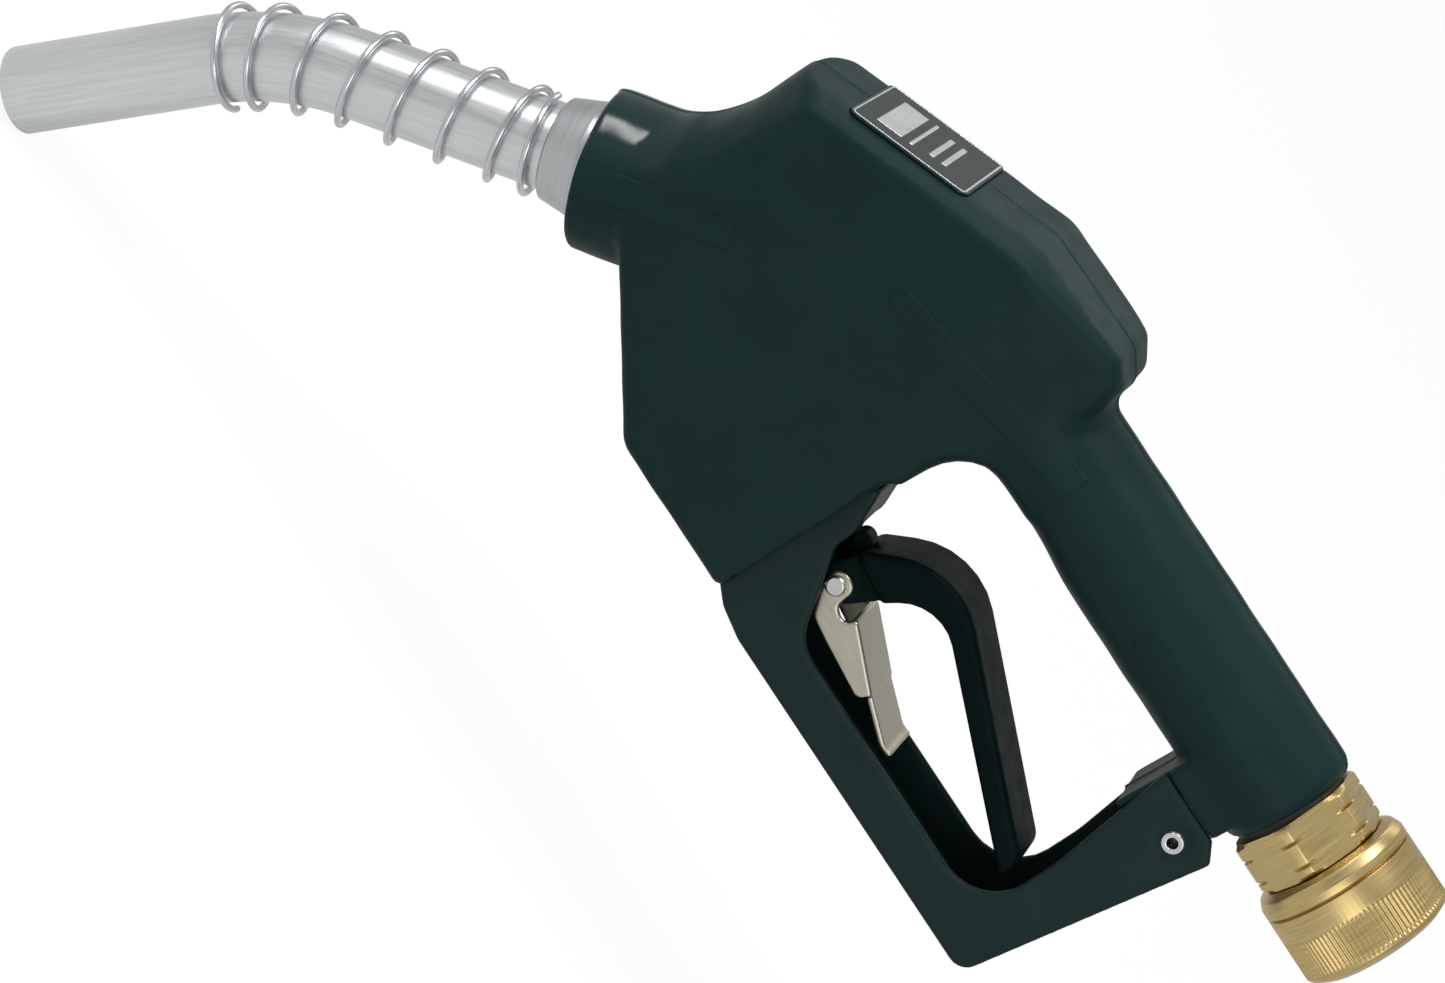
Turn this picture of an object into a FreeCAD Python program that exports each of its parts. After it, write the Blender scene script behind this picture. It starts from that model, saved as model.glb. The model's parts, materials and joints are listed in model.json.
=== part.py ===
import FreeCAD, Part
import math
import os
import Sketcher
from FreeCAD import Placement, Rotation, Vector

# An automatic fuel nozzle with a vinyl-covered body. Millimetres.
# The origin is the centre of the hose inlet's face. +X leaves the inlet, +Z points up,
# away from the lever, and the nozzle is symmetric about Y = 0. So the spout is on the -X side.
# "along" is a distance down the spout's own axis from the nose, positive towards the tip.

SIZES = {
    # swivel ring that takes the hose
    "ring_back": -28.3, "ring_shoulder": 3.5, "ring_radius": 22.25, "ring_corner": 4.0,
    "ring_groove": -21.8, "ring_groove_half": 0.6, "ring_groove_floor": 21.4,
    "hose_radius": 15.15, "hose_depth": -16.0, "flow_radius": 10.0, "socket_end": -17.2,
    "socket_radius": 13.56, "race_at": -25.0, "race_half": 1.56, "race_outer": 15.1,
    "race_inner": 11.95, "ball_radius": 1.5, "ball_circle": 13.53, "ball_count": 16,
    # nipple with its hexagon
    "nipple_front": -62.0, "nipple_thread": 13.2, "hex_front": -44.0, "hex_back": -28.6,
    "hex_corner_radius": 19.35, "hex_bevel": 1.2, "hex_side": 20.09, "hex_groove_a": -39.0,
    "hex_groove_b": -32.1, "hex_groove_half": 0.9, "hex_groove_floor": 18.2,
    "stub_radius": 13.5, "stub_end": -17.5, "seal_at": -20.3, "seal_half": 1.0,
    "seal_floor": 12.0, "seal_wire": 0.75, "seal_circle": 12.78,
    "gasket_back": -46.0, "gasket_inner": 13.25, "gasket_outer": 15.7,
    "strainer_outer": 9.9, "strainer_inner": 9.3, "strainer_front": -60.0,
    "strainer_tip": -74.0, "strainer_back": -22.0,
    # body and its cover
    "cover_wall": 2.3, "grip_radius": 19.1, "grip_rise": 0.95, "grip_end": -45.0,
    "head_half": 31.0, "head_wide_at": 22.0, "head_draft": 0.0966, "head_front": -283.0,
    "head_back": -178.0, "head_corner": 5.0, "head_floor": -97.0,
    "nose_at_x": -293.8, "nose_at_z": -65.1, "spout_fall": 37.8, "nose_radius": 23.1, "nose_drop": 1.2,
    "nose_root": -64.0, "nose_rim": -1.5, "nose_face": -3.5,
    "bore_radius": 10.5, "chamber_at": -207.0, "chamber_bore": 9.0, "cap_top": 25.0,
    "cap_depth": 9.0, "cap_radius": 14.0, "cap_hex": 7.0,
    "cheek_pocket_half": 13.9, "cheek_pocket_front": -196.0, "lug_front": -69.0,
    "lug_back": -50.0, "lug_floor": -35.0, "lug_half": 13.9,
    # main valve, all on one line parallel to X
    "valve_z": -60.0, "valve_bore": 12.0, "gland_front": -196.0, "gland_back": -180.6,
    "seat_front": -222.0, "seat_back": -218.0, "seat_hole": 8.0, "spring_room": 11.9,
    "valve_end": -243.0, "outlet_cross_at": -235.0, "outlet_cross": 7.5,
    "poppet_radius": 10.5, "seal_gap": 0.02, "seal_thick": 1.4, "poppet_back": -227.0,
    "poppet_hub": 5.0, "hub_end": -232.0, "rod_radius": 3.0, "rod_end": -170.4,
    "rod_seat": -225.0, "rod_fit": 0.06, "gland_seal_at": -190.0, "gland_seal_half": 1.1,
    "gland_nose": -178.4, "gland_nose_radius": 7.0,
    # trip plunger and its latch
    "trip_z": -80.0, "trip_radius": 4.0, "trip_fit": 0.06, "trip_front": -214.0,
    "trip_bore_end": -216.0, "collar_front": -196.0, "collar_back": -194.5,
    "trip_collar": 6.0, "trip_room": 6.5, "retainer_front": -185.5, "retainer_back": -180.6,
    "retainer_radius": 7.0, "pin_x": -161.0, "pin_z": -70.0, "latch_x": -206.0,
    "latch_radius": 3.0, "latch_top": -82.0, "trip_travel": 3.0,
    "latch_foot": -88.0, "latch_flange": 6.0, "latch_gap": 0.08,
    "membrane_radius": 12.9, "membrane_top": -88.05,
    "dome_room": 13.0, "dome_top": -85.9, "dome_cap_top": -91.1, "dome_cap_floor": -93.3,
    "dome_cap_half": 17.0, "dome_cap_side": 15.6, "screw_along": 13.5, "screw_across": 11.8,
    "screw_radius": 1.5, "screw_head": 2.6, "screw_head_high": 1.2, "screw_depth": 7.0,
    # lever, pin, clip
    "lever_half": 11.0, "ear_half": 9.8, "fork_half": 4.1, "eye_radius": 5.0,
    "ear_radius": 5.6, "pin_radius": 1.9, "pin_fit": 0.05, "pin_half": 11.6,
    "pin_head": 3.0, "pin_head_thick": 1.6, "lobe_x": -167.0, "lobe_z": -60.0,
    "lobe_radius": 3.0, "lobe_half": 3.6, "clip_half": 11.5, "clip_inside": 10.0,
    "tongue_half": 10.5,
    # guard
    "guard_half": 16.5, "guard_inside": 14.0, "rivet_x": -54.7,
    "rivet_z": -28.2, "rivet_radius": 2.6, "rivet_hole": 1.6, "rivet_head": 3.4,
    "rivet_head_thick": 0.8, "guard_screw_x": -187.5, "guard_screw_high": -50.0,
    "guard_screw_low": -84.0, "guard_screw_radius": 2.0, "guard_screw_head": 3.0,
    "guard_screw_tall": 1.8, "guard_screw_deep": 5.0,
    # spout, along its own axis
    "spout_radius": 12.5, "spout_bore": 10.5, "spout_start": -14.0, "bend_corner": 94.2,
    "bend_radius": 96.0, "bend_turn": 27.7, "tip_length": 83.46,
    "collar_thread": 15.0, "collar_start": -15.8, "collar_big": 16.9, "collar_seat": -3.3,
    "collar_face": 0.8, "collar_small": 14.7, "collar_end": 13.4, "oring_at": -9.0,
    "oring_half": 1.1, "oring_wire": 0.8, "oring_circle": 13.32, "oring_floor": 14.13,
    "set_screw_at": 6.5, "set_screw_radius": 1.5,
    "spout_coil": 14.35, "spout_wire": 1.0, "coil_first": 16.0, "coil_last": 101.0,
    "coil_turns": 7.5, "coil_bulge": 1.6,
    "check_bore": 12.5, "check_seat_front": -40.0, "check_seat_back": -37.0,
    "check_seat_hole": 7.5, "check_radius": 9.8, "check_face": -36.98, "check_back": -34.0,
    "check_stem": 2.0, "check_stem_end": -18.5, "guide_front": -24.0, "guide_back": -21.0,
    "guide_bore": 2.06, "guide_hub": 4.0, "guide_rim": 10.5, "guide_arm": 1.2,
    "sensor_offset": 7.5, "sensor_radius": 2.0, "sensor_bore": 1.2,
    "sensor_start": -13.0, "sensor_back_off": 8.0, "port_radius": 3.2, "port_hole": 1.3,
    # springs
    "main_coil": 8.0, "main_wire": 0.9, "main_pitch": 3.3, "check_coil": 5.4,
    "check_wire": 0.6, "check_pitch": 2.6, "trip_coil": 5.3, "trip_wire": 0.55,
    "trip_pitch": 2.5, "dome_coil": 4.4, "dome_wire": 0.3, "dome_pitch": 1.3,
    "dome_spring_long": 3.3, "dome_cap_pit": 1.2, "dome_cap_pit_radius": 11.0,
    # plate on top of the head
    "plate_x": -248.0, "plate_z": 17.3, "plate_slope": 20.8, "plate_long": 38.6,
    "plate_wide": 45.0, "plate_thick": 0.8,
}

doc = FreeCAD.newDocument("FuelNozzle")
sheet = doc.addObject("Spreadsheet::Sheet", "Sizes")
for row, (alias, number) in enumerate(SIZES.items(), start=1):
    sheet.set("A%d" % row, alias)
    sheet.set("B%d" % row, str(number))
    sheet.setAlias("B%d" % row, alias)
doc.recompute()


# ---------------------------------------------------------------- formulas and places

def amount(formula):
    """The number that a sum of size names and plain numbers stands for."""
    total = 0.0
    sign = 1.0
    for word in str(formula).split():
        if word in ("+", "-"):
            sign = 1.0 if word == "+" else -1.0
        else:
            total += sign * (SIZES[word] if word in SIZES else float(word))
    return total


def in_sheet(formula):
    """The same sum, written for the document's own expressions."""
    words = []
    for word in str(formula).split():
        words.append("Sizes." + word if word in SIZES else word)
    return " ".join(words)


def bind(thing, path, formula):
    thing.setExpression(path, in_sheet(formula))


def size(name):
    return float(sheet.get(name))


COIL_STEPS = 16
ALONG_X = Rotation(Vector(0, 1, 0), 90)
ALONG_Z = Rotation(Vector(0, 1, 0), -90)
NOSE = Vector(size("nose_at_x"), 0, size("nose_at_z"))
FALL = math.radians(size("spout_fall"))
# turns local +X onto the spout's axis, and local +Z onto its upper side
DOWN_SPOUT = Rotation(Vector(-math.cos(FALL), 0, -math.sin(FALL)), Vector(0, -1, 0),
                      Vector(-math.sin(FALL), 0, math.cos(FALL)), "XYZ")


def place(piece, x="0", z="0", y="0", turn=Rotation()):
    """Puts a piece at a point of the nozzle, with the point bound to the sheet."""
    piece.Placement = Placement(Vector(amount(x), amount(y), amount(z)), turn)
    bind(piece, "Placement.Base.x", x)
    bind(piece, "Placement.Base.y", y)
    bind(piece, "Placement.Base.z", z)


def place_on_spout(piece):
    place(piece, "nose_at_x", "nose_at_z", turn=DOWN_SPOUT)


# ---------------------------------------------------------------- part design pieces

def new_body(label):
    body = doc.addObject("PartDesign::Body", label)
    body.Label = label
    return body


def sketch_on(body, role):
    sketch = body.newObject("Sketcher::SketchObject", body.Name + "_sketch")
    plane = [item for item in body.Origin.OriginFeatures if item.Role == role][0]
    sketch.AttachmentSupport = [(plane, "")]
    sketch.MapMode = "FlatFace"
    return sketch


def draw(sketch, corners):
    """A closed outline. Each corner is two sums, bound to the sheet."""
    spots = [Vector(amount(across), amount(up), 0) for across, up in corners]
    count = len(corners)
    for index in range(count):
        sketch.addGeometry(Part.LineSegment(spots[index], spots[(index + 1) % count]))
    for index in range(count):
        sketch.addConstraint(Sketcher.Constraint("Coincident", index, 2, (index + 1) % count, 1))
    for index, (across, up) in enumerate(corners):
        for kind, formula in (("DistanceX", across), ("DistanceY", up)):
            rule = Sketcher.Constraint(kind, -1, 1, index, 1, amount(formula))
            number = sketch.addConstraint(rule)
            bind(sketch, "Constraints[%d]" % number, formula)


def draw_circle(sketch, across, up, radius):
    centre = Vector(amount(across), amount(up), 0)
    item = sketch.addGeometry(Part.Circle(centre, Vector(0, 0, 1), amount(radius)))
    for kind, formula in (("DistanceX", across), ("DistanceY", up)):
        rule = Sketcher.Constraint(kind, -1, 1, item, 3, amount(formula))
        bind(sketch, "Constraints[%d]" % sketch.addConstraint(rule), formula)
    rule = Sketcher.Constraint("Radius", item, amount(radius))
    bind(sketch, "Constraints[%d]" % sketch.addConstraint(rule), radius)


def axis_of(body, role):
    return [item for item in body.Origin.OriginFeatures if item.Role == role][0]


def turned(label, corners):
    """A turned piece: the outline (along, radius) goes round the body's own X axis."""
    body = new_body(label)
    sketch = sketch_on(body, "XY_Plane")
    draw(sketch, corners)
    spin = body.newObject("PartDesign::Revolution", label + "_turn")
    spin.Profile = sketch
    spin.ReferenceAxis = (axis_of(body, "X_Axis"), [""])
    spin.Angle = 360
    doc.recompute()
    return body


def tube(label, start, end, inner, outer):
    return turned(label, [(start, inner), (end, inner), (end, outer), (start, outer)])


def slab(body, corners, half, cut=False):
    """Pads, or pockets, an outline in X and Z by the same amount to both sides of Y = 0."""
    sketch = sketch_on(body, "XZ_Plane")
    draw(sketch, corners)
    kind = "PartDesign::Pocket" if cut else "PartDesign::Pad"
    step = body.newObject(kind, body.Name + "_step")
    step.Profile = sketch
    step.SideType = "Symmetric"
    step.Length = 2 * amount(half)
    bind(step, "Length", half + " + " + half)
    doc.recompute()
    return step


def disc(body, x, z, radius, half, cut=False):
    """The same with a circle: an eye, or with cut a cross hole."""
    sketch = sketch_on(body, "XZ_Plane")
    draw_circle(sketch, x, z, radius)
    kind = "PartDesign::Pocket" if cut else "PartDesign::Pad"
    step = body.newObject(kind, body.Name + "_round")
    step.Profile = sketch
    step.SideType = "Symmetric"
    step.Length = 2 * amount(half)
    bind(step, "Length", half + " + " + half)
    doc.recompute()
    return step


def round_edges(body, radius, wanted):
    """Fillets the edges of the body's last feature that the test picks."""
    base = body.Tip
    names = []
    for number, edge in enumerate(base.Shape.Edges, start=1):
        if wanted(edge):
            names.append("Edge%d" % number)
    fillet = body.newObject("PartDesign::Fillet", body.Name + "_fillet")
    fillet.Base = (base, names)
    fillet.Radius = amount(radius)
    doc.recompute()
    return fillet


def long_rim(half, shortest):
    """Picks the long edges that lie in one of the two side planes."""
    def test(edge):
        box = edge.BoundBox
        level = box.YLength < 0.001 and abs(abs(box.YMin) - half) < 0.001
        return level and edge.Length > shortest
    return test


# ---------------------------------------------------------------- primitives

def primitive(kind, label, **sizes):
    item = doc.addObject("Part::" + kind, label)
    item.Label = label
    for name, formula in sizes.items():
        setattr(item, name, amount(formula))
        bind(item, name, formula)
    return item


def boolean(kind, label, base, tool):
    item = doc.addObject("Part::" + kind, label)
    item.Label = label
    item.Base = base
    item.Tool = tool
    doc.recompute()
    return item


def group(label, items):
    item = doc.addObject("Part::Compound", label)
    item.Label = label
    item.Links = items
    doc.recompute()
    return item


def sprung(label, points, wire):
    """A round wire along a smooth line through the points."""
    line = Part.BSplineCurve()
    line.interpolate(points)
    way = line.tangent(line.FirstParameter)[0]
    end = Part.Wire([Part.makeCircle(amount(wire), points[0], way)])
    return shaped(label, Part.Wire([line.toShape()]).makePipeShell([end], True, True))


def coil(label, radius, wire, pitch, length):
    """A compression spring that starts on its own XY plane and climbs +Z."""
    turns = amount(length) / amount(pitch)
    steps = int(turns * COIL_STEPS)
    points = []
    for step in range(steps + 1):
        around = 2 * math.pi * turns * step / steps
        points.append(Vector(amount(radius) * math.cos(around), amount(radius) * math.sin(around),
                             amount(length) * step / steps))
    return sprung(label, points, wire)


def shaped(label, shape, at=Placement()):
    """A piece whose form neither a body nor primitives give."""
    item = doc.addObject("Part::Feature", label)
    item.Label = label
    item.Shape = shape
    item.Placement = at
    return item


# ---------------------------------------------------------------- swivel

def swivel_ring():
    return turned("swivel_ring", [
        ("ring_back", "socket_radius"),
        ("ring_back", "ring_radius - ring_shoulder"),
        ("ring_back + 1.0", "ring_radius - 1.0"),
        ("ring_back + ring_shoulder", "ring_radius"),
        ("ring_groove - ring_groove_half", "ring_radius"),
        ("ring_groove", "ring_groove_floor"),
        ("ring_groove + ring_groove_half", "ring_radius"),
        ("0 - ring_corner", "ring_radius"),
        ("-1.2", "ring_radius - 1.2"),
        ("0", "ring_radius - ring_corner"),
        ("0", "hose_radius"),
        ("hose_depth", "hose_radius"),
        ("hose_depth", "flow_radius"),
        ("socket_end", "flow_radius"),
        ("socket_end", "socket_radius"),
        ("race_at + race_half", "socket_radius"),
        ("race_at + race_half", "race_outer"),
        ("race_at - race_half", "race_outer"),
        ("race_at - race_half", "socket_radius")])


def v_groove(at):
    return [(at + " - hex_groove_half", "hex_corner_radius"), (at, "hex_groove_floor"),
            (at + " + hex_groove_half", "hex_corner_radius")]


def inlet_nipple():
    blank = turned("nipple_blank", [
        ("nipple_front", "flow_radius"), ("nipple_front", "nipple_thread"),
        ("hex_front", "nipple_thread"), ("hex_front", "hex_corner_radius - hex_bevel"),
        ("hex_front + hex_bevel", "hex_corner_radius")]
        + v_groove("hex_groove_a") + v_groove("hex_groove_b") + [
        ("hex_back - hex_bevel", "hex_corner_radius"),
        ("hex_back", "hex_corner_radius - hex_bevel"), ("hex_back", "stub_radius"),
        ("race_at - race_half", "stub_radius"), ("race_at - race_half", "race_inner"),
        ("race_at + race_half", "race_inner"), ("race_at + race_half", "stub_radius"),
        ("seal_at - seal_half", "stub_radius"), ("seal_at - seal_half", "seal_floor"),
        ("seal_at + seal_half", "seal_floor"), ("seal_at + seal_half", "stub_radius"),
        ("stub_end", "stub_radius"), ("stub_end", "flow_radius")])
    bar = primitive("Prism", "nipple_bar", Circumradius="hex_side",
                    Height="stub_end - nipple_front")
    bar.Polygon = 6
    place(bar, "nipple_front", turn=Rotation(Vector(0, 1, 0), 90).multiply(
        Rotation(Vector(0, 0, 1), 90)))
    return boolean("Common", "inlet_nipple", blank, bar)


def swivel_balls():
    balls = []
    count = int(size("ball_count"))
    for index in range(count):
        ball = primitive("Sphere", "swivel_ball_%d" % index, Radius="ball_radius")
        angle = 2 * math.pi * index / count
        across = size("ball_circle") * math.cos(angle)
        up = size("ball_circle") * math.sin(angle)
        ball.Placement = Placement(Vector(size("race_at"), across, up), Rotation())
        balls.append(ball)
    return group("swivel_balls", balls)


def o_ring(label, circle, wire, x, z="0"):
    ring = primitive("Torus", label, Radius1=circle, Radius2=wire)
    place(ring, x, z, turn=ALONG_X)
    return ring


# ---------------------------------------------------------------- head and grip

def rounded_section(x, top_half, low_half, top, low, corner):
    """A trapezoid across the head at x, with its four corners rounded."""
    right = [(low_half, low), (top_half, top)]
    slope = math.atan2(top - low, top_half - low_half)
    corners = [(-low_half, low), right[0], right[1], (-top_half, top)]
    edges = []
    ends = []
    for index, corner_at in enumerate(corners):
        here = Vector(x, corner_at[0], corner_at[1])
        before = corners[index - 1]
        after = corners[(index + 1) % 4]
        back = Vector(x, before[0], before[1]).sub(here).normalize()
        ahead = Vector(x, after[0], after[1]).sub(here).normalize()
        half_angle = back.getAngle(ahead) / 2
        reach = corner / math.tan(half_angle)
        middle = Vector(back).add(ahead).normalize()
        centre = here + middle * (corner / math.sin(half_angle))
        ends.append((here + back * reach, centre - middle * corner, here + ahead * reach))
    for index, (start, middle, end) in enumerate(ends):
        edges.append(Part.Arc(start, middle, end).toShape())
        edges.append(Part.makeLine(end, ends[(index + 1) % 4][0]))
    return Part.Wire(edges)


def half_width(z):
    """The head's half width at a height: its sides lean in towards the floor."""
    return size("head_half") - size("head_draft") * (size("head_wide_at") - z)


def head_loft(stations, wall):
    """A straight-ruled loft. A station is x, top, floor, and how far its top and its floor
    are drawn in."""
    sections = []
    corner = size("head_corner") + 1.0 - wall * 0.8
    for x, top, low, top_in, low_in in stations:
        top_half = half_width(top) - top_in - wall
        low_half = half_width(low) - low_in - wall
        sections.append(rounded_section(x, top_half, low_half, top - wall, low + wall, corner))
    return Part.makeLoft(sections, True, True)


def rod_shape(start, direction, length, radius):
    return Part.makeCylinder(radius, length, start, direction)


def spout_direction():
    return Vector(-math.cos(FALL), 0, -math.sin(FALL))


def on_spout(along, above=0.0):
    """A point at a distance along the spout's axis, and so far above it."""
    upward = Vector(-math.sin(FALL), 0, math.cos(FALL))
    return NOSE + spout_direction() * along + upward * above


def head_shape(wall):
    """Head, nose and grip as one solid, drawn in by the wall's thickness."""
    front = size("head_front") + wall
    back = size("head_back")
    floor = size("head_floor")
    main = [(front, -3.0, -58.0, 12.0, 12.0), (front + 4.0, 1.0, -60.0, 4.0, 5.0),
            (front + 11.0, 7.0, -64.5, 0.5, 1.0), (-266.0, 10.5, -68.0, 0.0, 0.0),
            (-231.0, 24.2, -92.7, 0.0, 0.0), (-225.0, 26.6, floor, 0.0, 0.0),
            (-210.0, 31.8, floor, 0.6, 0.0), (-198.0, 33.2, floor, 3.0, 0.0),
            (back, 33.4, floor, 8.0, 0.2)]
    rear = [(back, 33.4, -36.0, 8.0, 2.0), (-174.5, 33.2, -24.0, 9.6, 4.0),
            (-172.0, 32.9, -18.6, 10.6, 6.0), (-168.0, 31.8, -14.7, 12.6, 8.5),
            (-164.0, 21.5, -12.7, 15.0, 12.0), (-158.5, 15.0, -12.2, 17.0, 15.0)]
    nose = rod_shape(on_spout(size("nose_root"), -size("nose_drop")), spout_direction(),
                     size("nose_rim") - size("nose_root"), size("nose_radius") - wall)
    grip = rod_shape(Vector(-175, 0, size("grip_rise")), Vector(1, 0, 0),
                     size("grip_end") + 175.0, size("grip_radius") - wall)
    body = head_loft(main, wall).fuse([head_loft(rear, wall), nose, grip])
    if wall == 0.0:
        body = body.fuse(skirt())
    return body.removeSplitter()


def skirt():
    """The cover's short skirt round the lug, just above the guard."""
    half = size("lug_half") + size("cover_wall")
    front = size("lug_front") - size("cover_wall")
    back = size("lug_back") + size("cover_wall")
    return Part.makeBox(back - front, 2 * half, 10.0, Vector(front, -half, -18.9))


def bores():
    """Everything that is drilled into the casting."""
    valve_z = size("valve_z")
    trip_z = size("trip_z")
    x_way = Vector(1, 0, 0)
    z_way = Vector(0, 0, 1)
    chamber = size("chamber_at")

    def x_bore(start, end, z, radius):
        return rod_shape(Vector(start, 0, z), x_way, end - start, radius)

    def z_bore(x, low, high, radius):
        return rod_shape(Vector(x, 0, low), z_way, high - low, radius)

    def spout_bore(start, end, radius):
        return rod_shape(on_spout(start), spout_direction(), end - start, radius)

    open_back = size("gland_back") + 6.0
    cuts = [
        x_bore(size("nipple_front") - 1.0, 0.0, 0.0, size("nipple_thread")),
        x_bore(chamber, 0.0, 0.0, size("bore_radius")),
        z_bore(chamber, valve_z, size("cap_top") - size("cap_depth"), size("chamber_bore")),
        z_bore(chamber, size("cap_top") - size("cap_depth"), 60.0, size("cap_radius")),
        x_bore(size("seat_front"), open_back, valve_z, size("valve_bore")),
        x_bore(size("valve_end"), size("seat_front"), valve_z, size("spring_room")),
        z_bore(size("outlet_cross_at"), valve_z, -24.0, size("outlet_cross")),
        spout_bore(-72.0, size("check_seat_front"), size("bore_radius")),
        spout_bore(size("check_seat_front"), 10.0, size("check_bore")),
        spout_bore(size("collar_start") - 0.2, 10.0, size("collar_thread")),
        x_bore(size("trip_bore_end"), open_back, trip_z, size("trip_radius") + size("trip_fit")),
        x_bore(size("collar_front"), size("retainer_front"), trip_z, size("trip_room")),
        x_bore(size("retainer_front"), open_back, trip_z, size("retainer_radius")),
        z_bore(size("latch_x"), -120.0, size("dome_top"), size("dome_room")),
        z_bore(size("latch_x"), -90.0, trip_z, size("latch_radius") + size("trip_fit")),
        dome_cap_room(),
    ]
    return cuts


def dome_cap_room():
    """The recess that the diaphragm's cap lies in."""
    half = size("dome_cap_half")
    side = size("dome_cap_side")
    low = size("head_floor")
    return Part.makeBox(2 * half, 2 * side, size("dome_cap_top") - low,
                        Vector(size("latch_x") - half, -side, low))


def side_boxes():
    """Where the guard's cheeks lie beside the narrowed casting."""
    half = size("cheek_pocket_half")
    front = size("cheek_pocket_front")
    boxes = []
    for side in (-1, 1):
        corner = Vector(front, half if side > 0 else -half - 30.0, -110.0)
        boxes.append(Part.makeBox(30.0, 30.0, 72.0, corner))
    return boxes


def lug():
    """The lug under the grip that the guard's rear end is riveted to."""
    half = size("lug_half")
    low = size("lug_floor")
    return Part.makeBox(size("lug_back") - size("lug_front"), 2 * half, -12.0 - low,
                        Vector(size("lug_front"), -half, low))


def cross_hole(x, z, radius, half):
    return rod_shape(Vector(x, -half, z), Vector(0, 1, 0), 2 * half, radius)


def screw_spots():
    """Centres of the four screws of the diaphragm's cap."""
    spots = []
    for along in (-1, 1):
        for across in (-1, 1):
            spots.append((size("latch_x") + along * size("screw_along"),
                          across * size("screw_across")))
    return spots


def plate_place():
    turn = Rotation(Vector(0, 1, 0), -size("plate_slope"))
    return Placement(Vector(size("plate_x"), 0, size("plate_z")), turn)


def plate_block():
    """The plate's own block, with rounded corners."""
    long = size("plate_long")
    wide = size("plate_wide")
    block = Part.makeBox(long, wide, size("plate_thick"), Vector(-long / 2, -wide / 2, 0))
    uprights = [edge for edge in block.Edges if edge.BoundBox.ZLength > 0.5]
    return block.makeFillet(3.0, uprights)


def plate_room():
    block = plate_block()
    block.Placement = plate_place()
    return block


def body_cover(outer, inner):
    shell = outer.cut(inner)
    through = rod_shape(on_spout(-30.0, -size("nose_drop")), spout_direction(), 60.0,
                        size("nose_radius") - size("cover_wall"))
    slot = Part.makeBox(size("lug_back") - size("lug_front") + 0.6, 2 * size("lug_half") + 0.2,
                        20.0, Vector(size("lug_front") - 0.3, -size("lug_half") - 0.1, -30.0))
    shell = shell.cut([through, slot, plate_room()])
    return shaped("body_cover", largest(shell))


def largest(shape):
    return max(shape.Solids, key=lambda solid: solid.Volume)


def body_casting(inner):
    casting = inner.cut(Part.makeBox(60.0, 80.0, 80.0, Vector(-46.0, -40.0, -40.0)))
    front = rod_shape(on_spout(size("nose_face")), spout_direction(), 30.0, 40.0)
    back = Part.makeBox(30.0, 60.0, 60.0, Vector(size("gland_back"), -30.0, -100.0))
    casting = casting.cut([front, back] + side_boxes())
    casting = casting.fuse(lug())
    cuts = bores()
    cuts.append(cross_hole(size("rivet_x"), size("rivet_z"), size("rivet_radius"), 40.0))
    for z in ("guard_screw_high", "guard_screw_low"):
        for side in (-1, 1):
            start = Vector(size("guard_screw_x"), side * size("cheek_pocket_half"), size(z))
            cuts.append(rod_shape(start, Vector(0, -side, 0), size("guard_screw_deep"),
                                  size("guard_screw_radius")))
    for x, y in screw_spots():
        cuts.append(rod_shape(Vector(x, y, size("dome_cap_top") - 1.0), Vector(0, 0, 1),
                              size("screw_depth") - 1.0, size("screw_radius")))
    return shaped("body_casting", largest(casting.cut(cuts)))


def label_plate():
    return shaped("label_plate", plate_block(), plate_place())


# ---------------------------------------------------------------- guard

def lever_guard():
    body = new_body("lever_guard")
    outside = [("-195", "-90.5"), ("-177.9", "-90.5"), ("-177.9", "-96.2"),
               ("-176.8", "-97.8"), ("-173.5", "-99.6"), ("-166", "-101.4"),
               ("-58", "-101.4"), ("-54.5", "-100.4"), ("-52.7", "-97"),
               ("-43.8", "-23"), ("-45.2", "-19.8"), ("-48.4", "-19.2"), ("-72", "-19.2"),
               ("-65.5", "-60"), ("-64.3", "-68"), ("-67.7", "-78"), ("-75.4", "-84.8"),
               ("-86", "-86.9"), ("-145", "-86.9"), ("-154.7", "-84"), ("-162", "-77.5"),
               ("-169", "-66"), ("-170", "-56"), ("-176.2", "-43"), ("-195", "-46.5")]
    slab(body, outside, "guard_half")
    inside = [("-200", "-120"), ("-176.8", "-120"), ("-176.8", "-95"), ("-172.8", "-97.2"),
              ("-165.7", "-98.9"), ("-58.4", "-98.9"), ("-56.2", "-98"), ("-55.2", "-96.5"),
              ("-47.6", "-35.4"), ("-30", "-35.4"), ("-30", "0"), ("-200", "0")]
    slab(body, inside, "guard_inside", cut=True)
    web = [("-176.2", "-43"), ("-171.2", "-54"), ("-173.2", "-54.6"), ("-177.6", "-43.6")]
    slab(body, web, "guard_inside")
    disc(body, "rivet_x", "rivet_z", "rivet_radius", "guard_half", cut=True)
    for z in ("guard_screw_high", "guard_screw_low"):
        disc(body, "guard_screw_x", z, "guard_screw_radius", "guard_half", cut=True)
    return body


def guard_rivet():
    half = "guard_half"
    rivet = turned("guard_rivet", [
        ("0 - guard_half - rivet_head_thick", "rivet_hole"),
        ("0 - guard_half - rivet_head_thick", "rivet_head - 0.4"),
        ("0 - guard_half - 0.4", "rivet_head"), ("0 - guard_half", "rivet_head"),
        ("0 - guard_half", "rivet_radius"), (half, "rivet_radius"), (half, "rivet_head"),
        ("guard_half + 0.4", "rivet_head"), ("guard_half + rivet_head_thick", "rivet_head - 0.4"),
        ("guard_half + rivet_head_thick", "rivet_hole")])
    place(rivet, "rivet_x", "rivet_z", turn=Rotation(Vector(0, 0, 1), 90))
    return rivet


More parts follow.
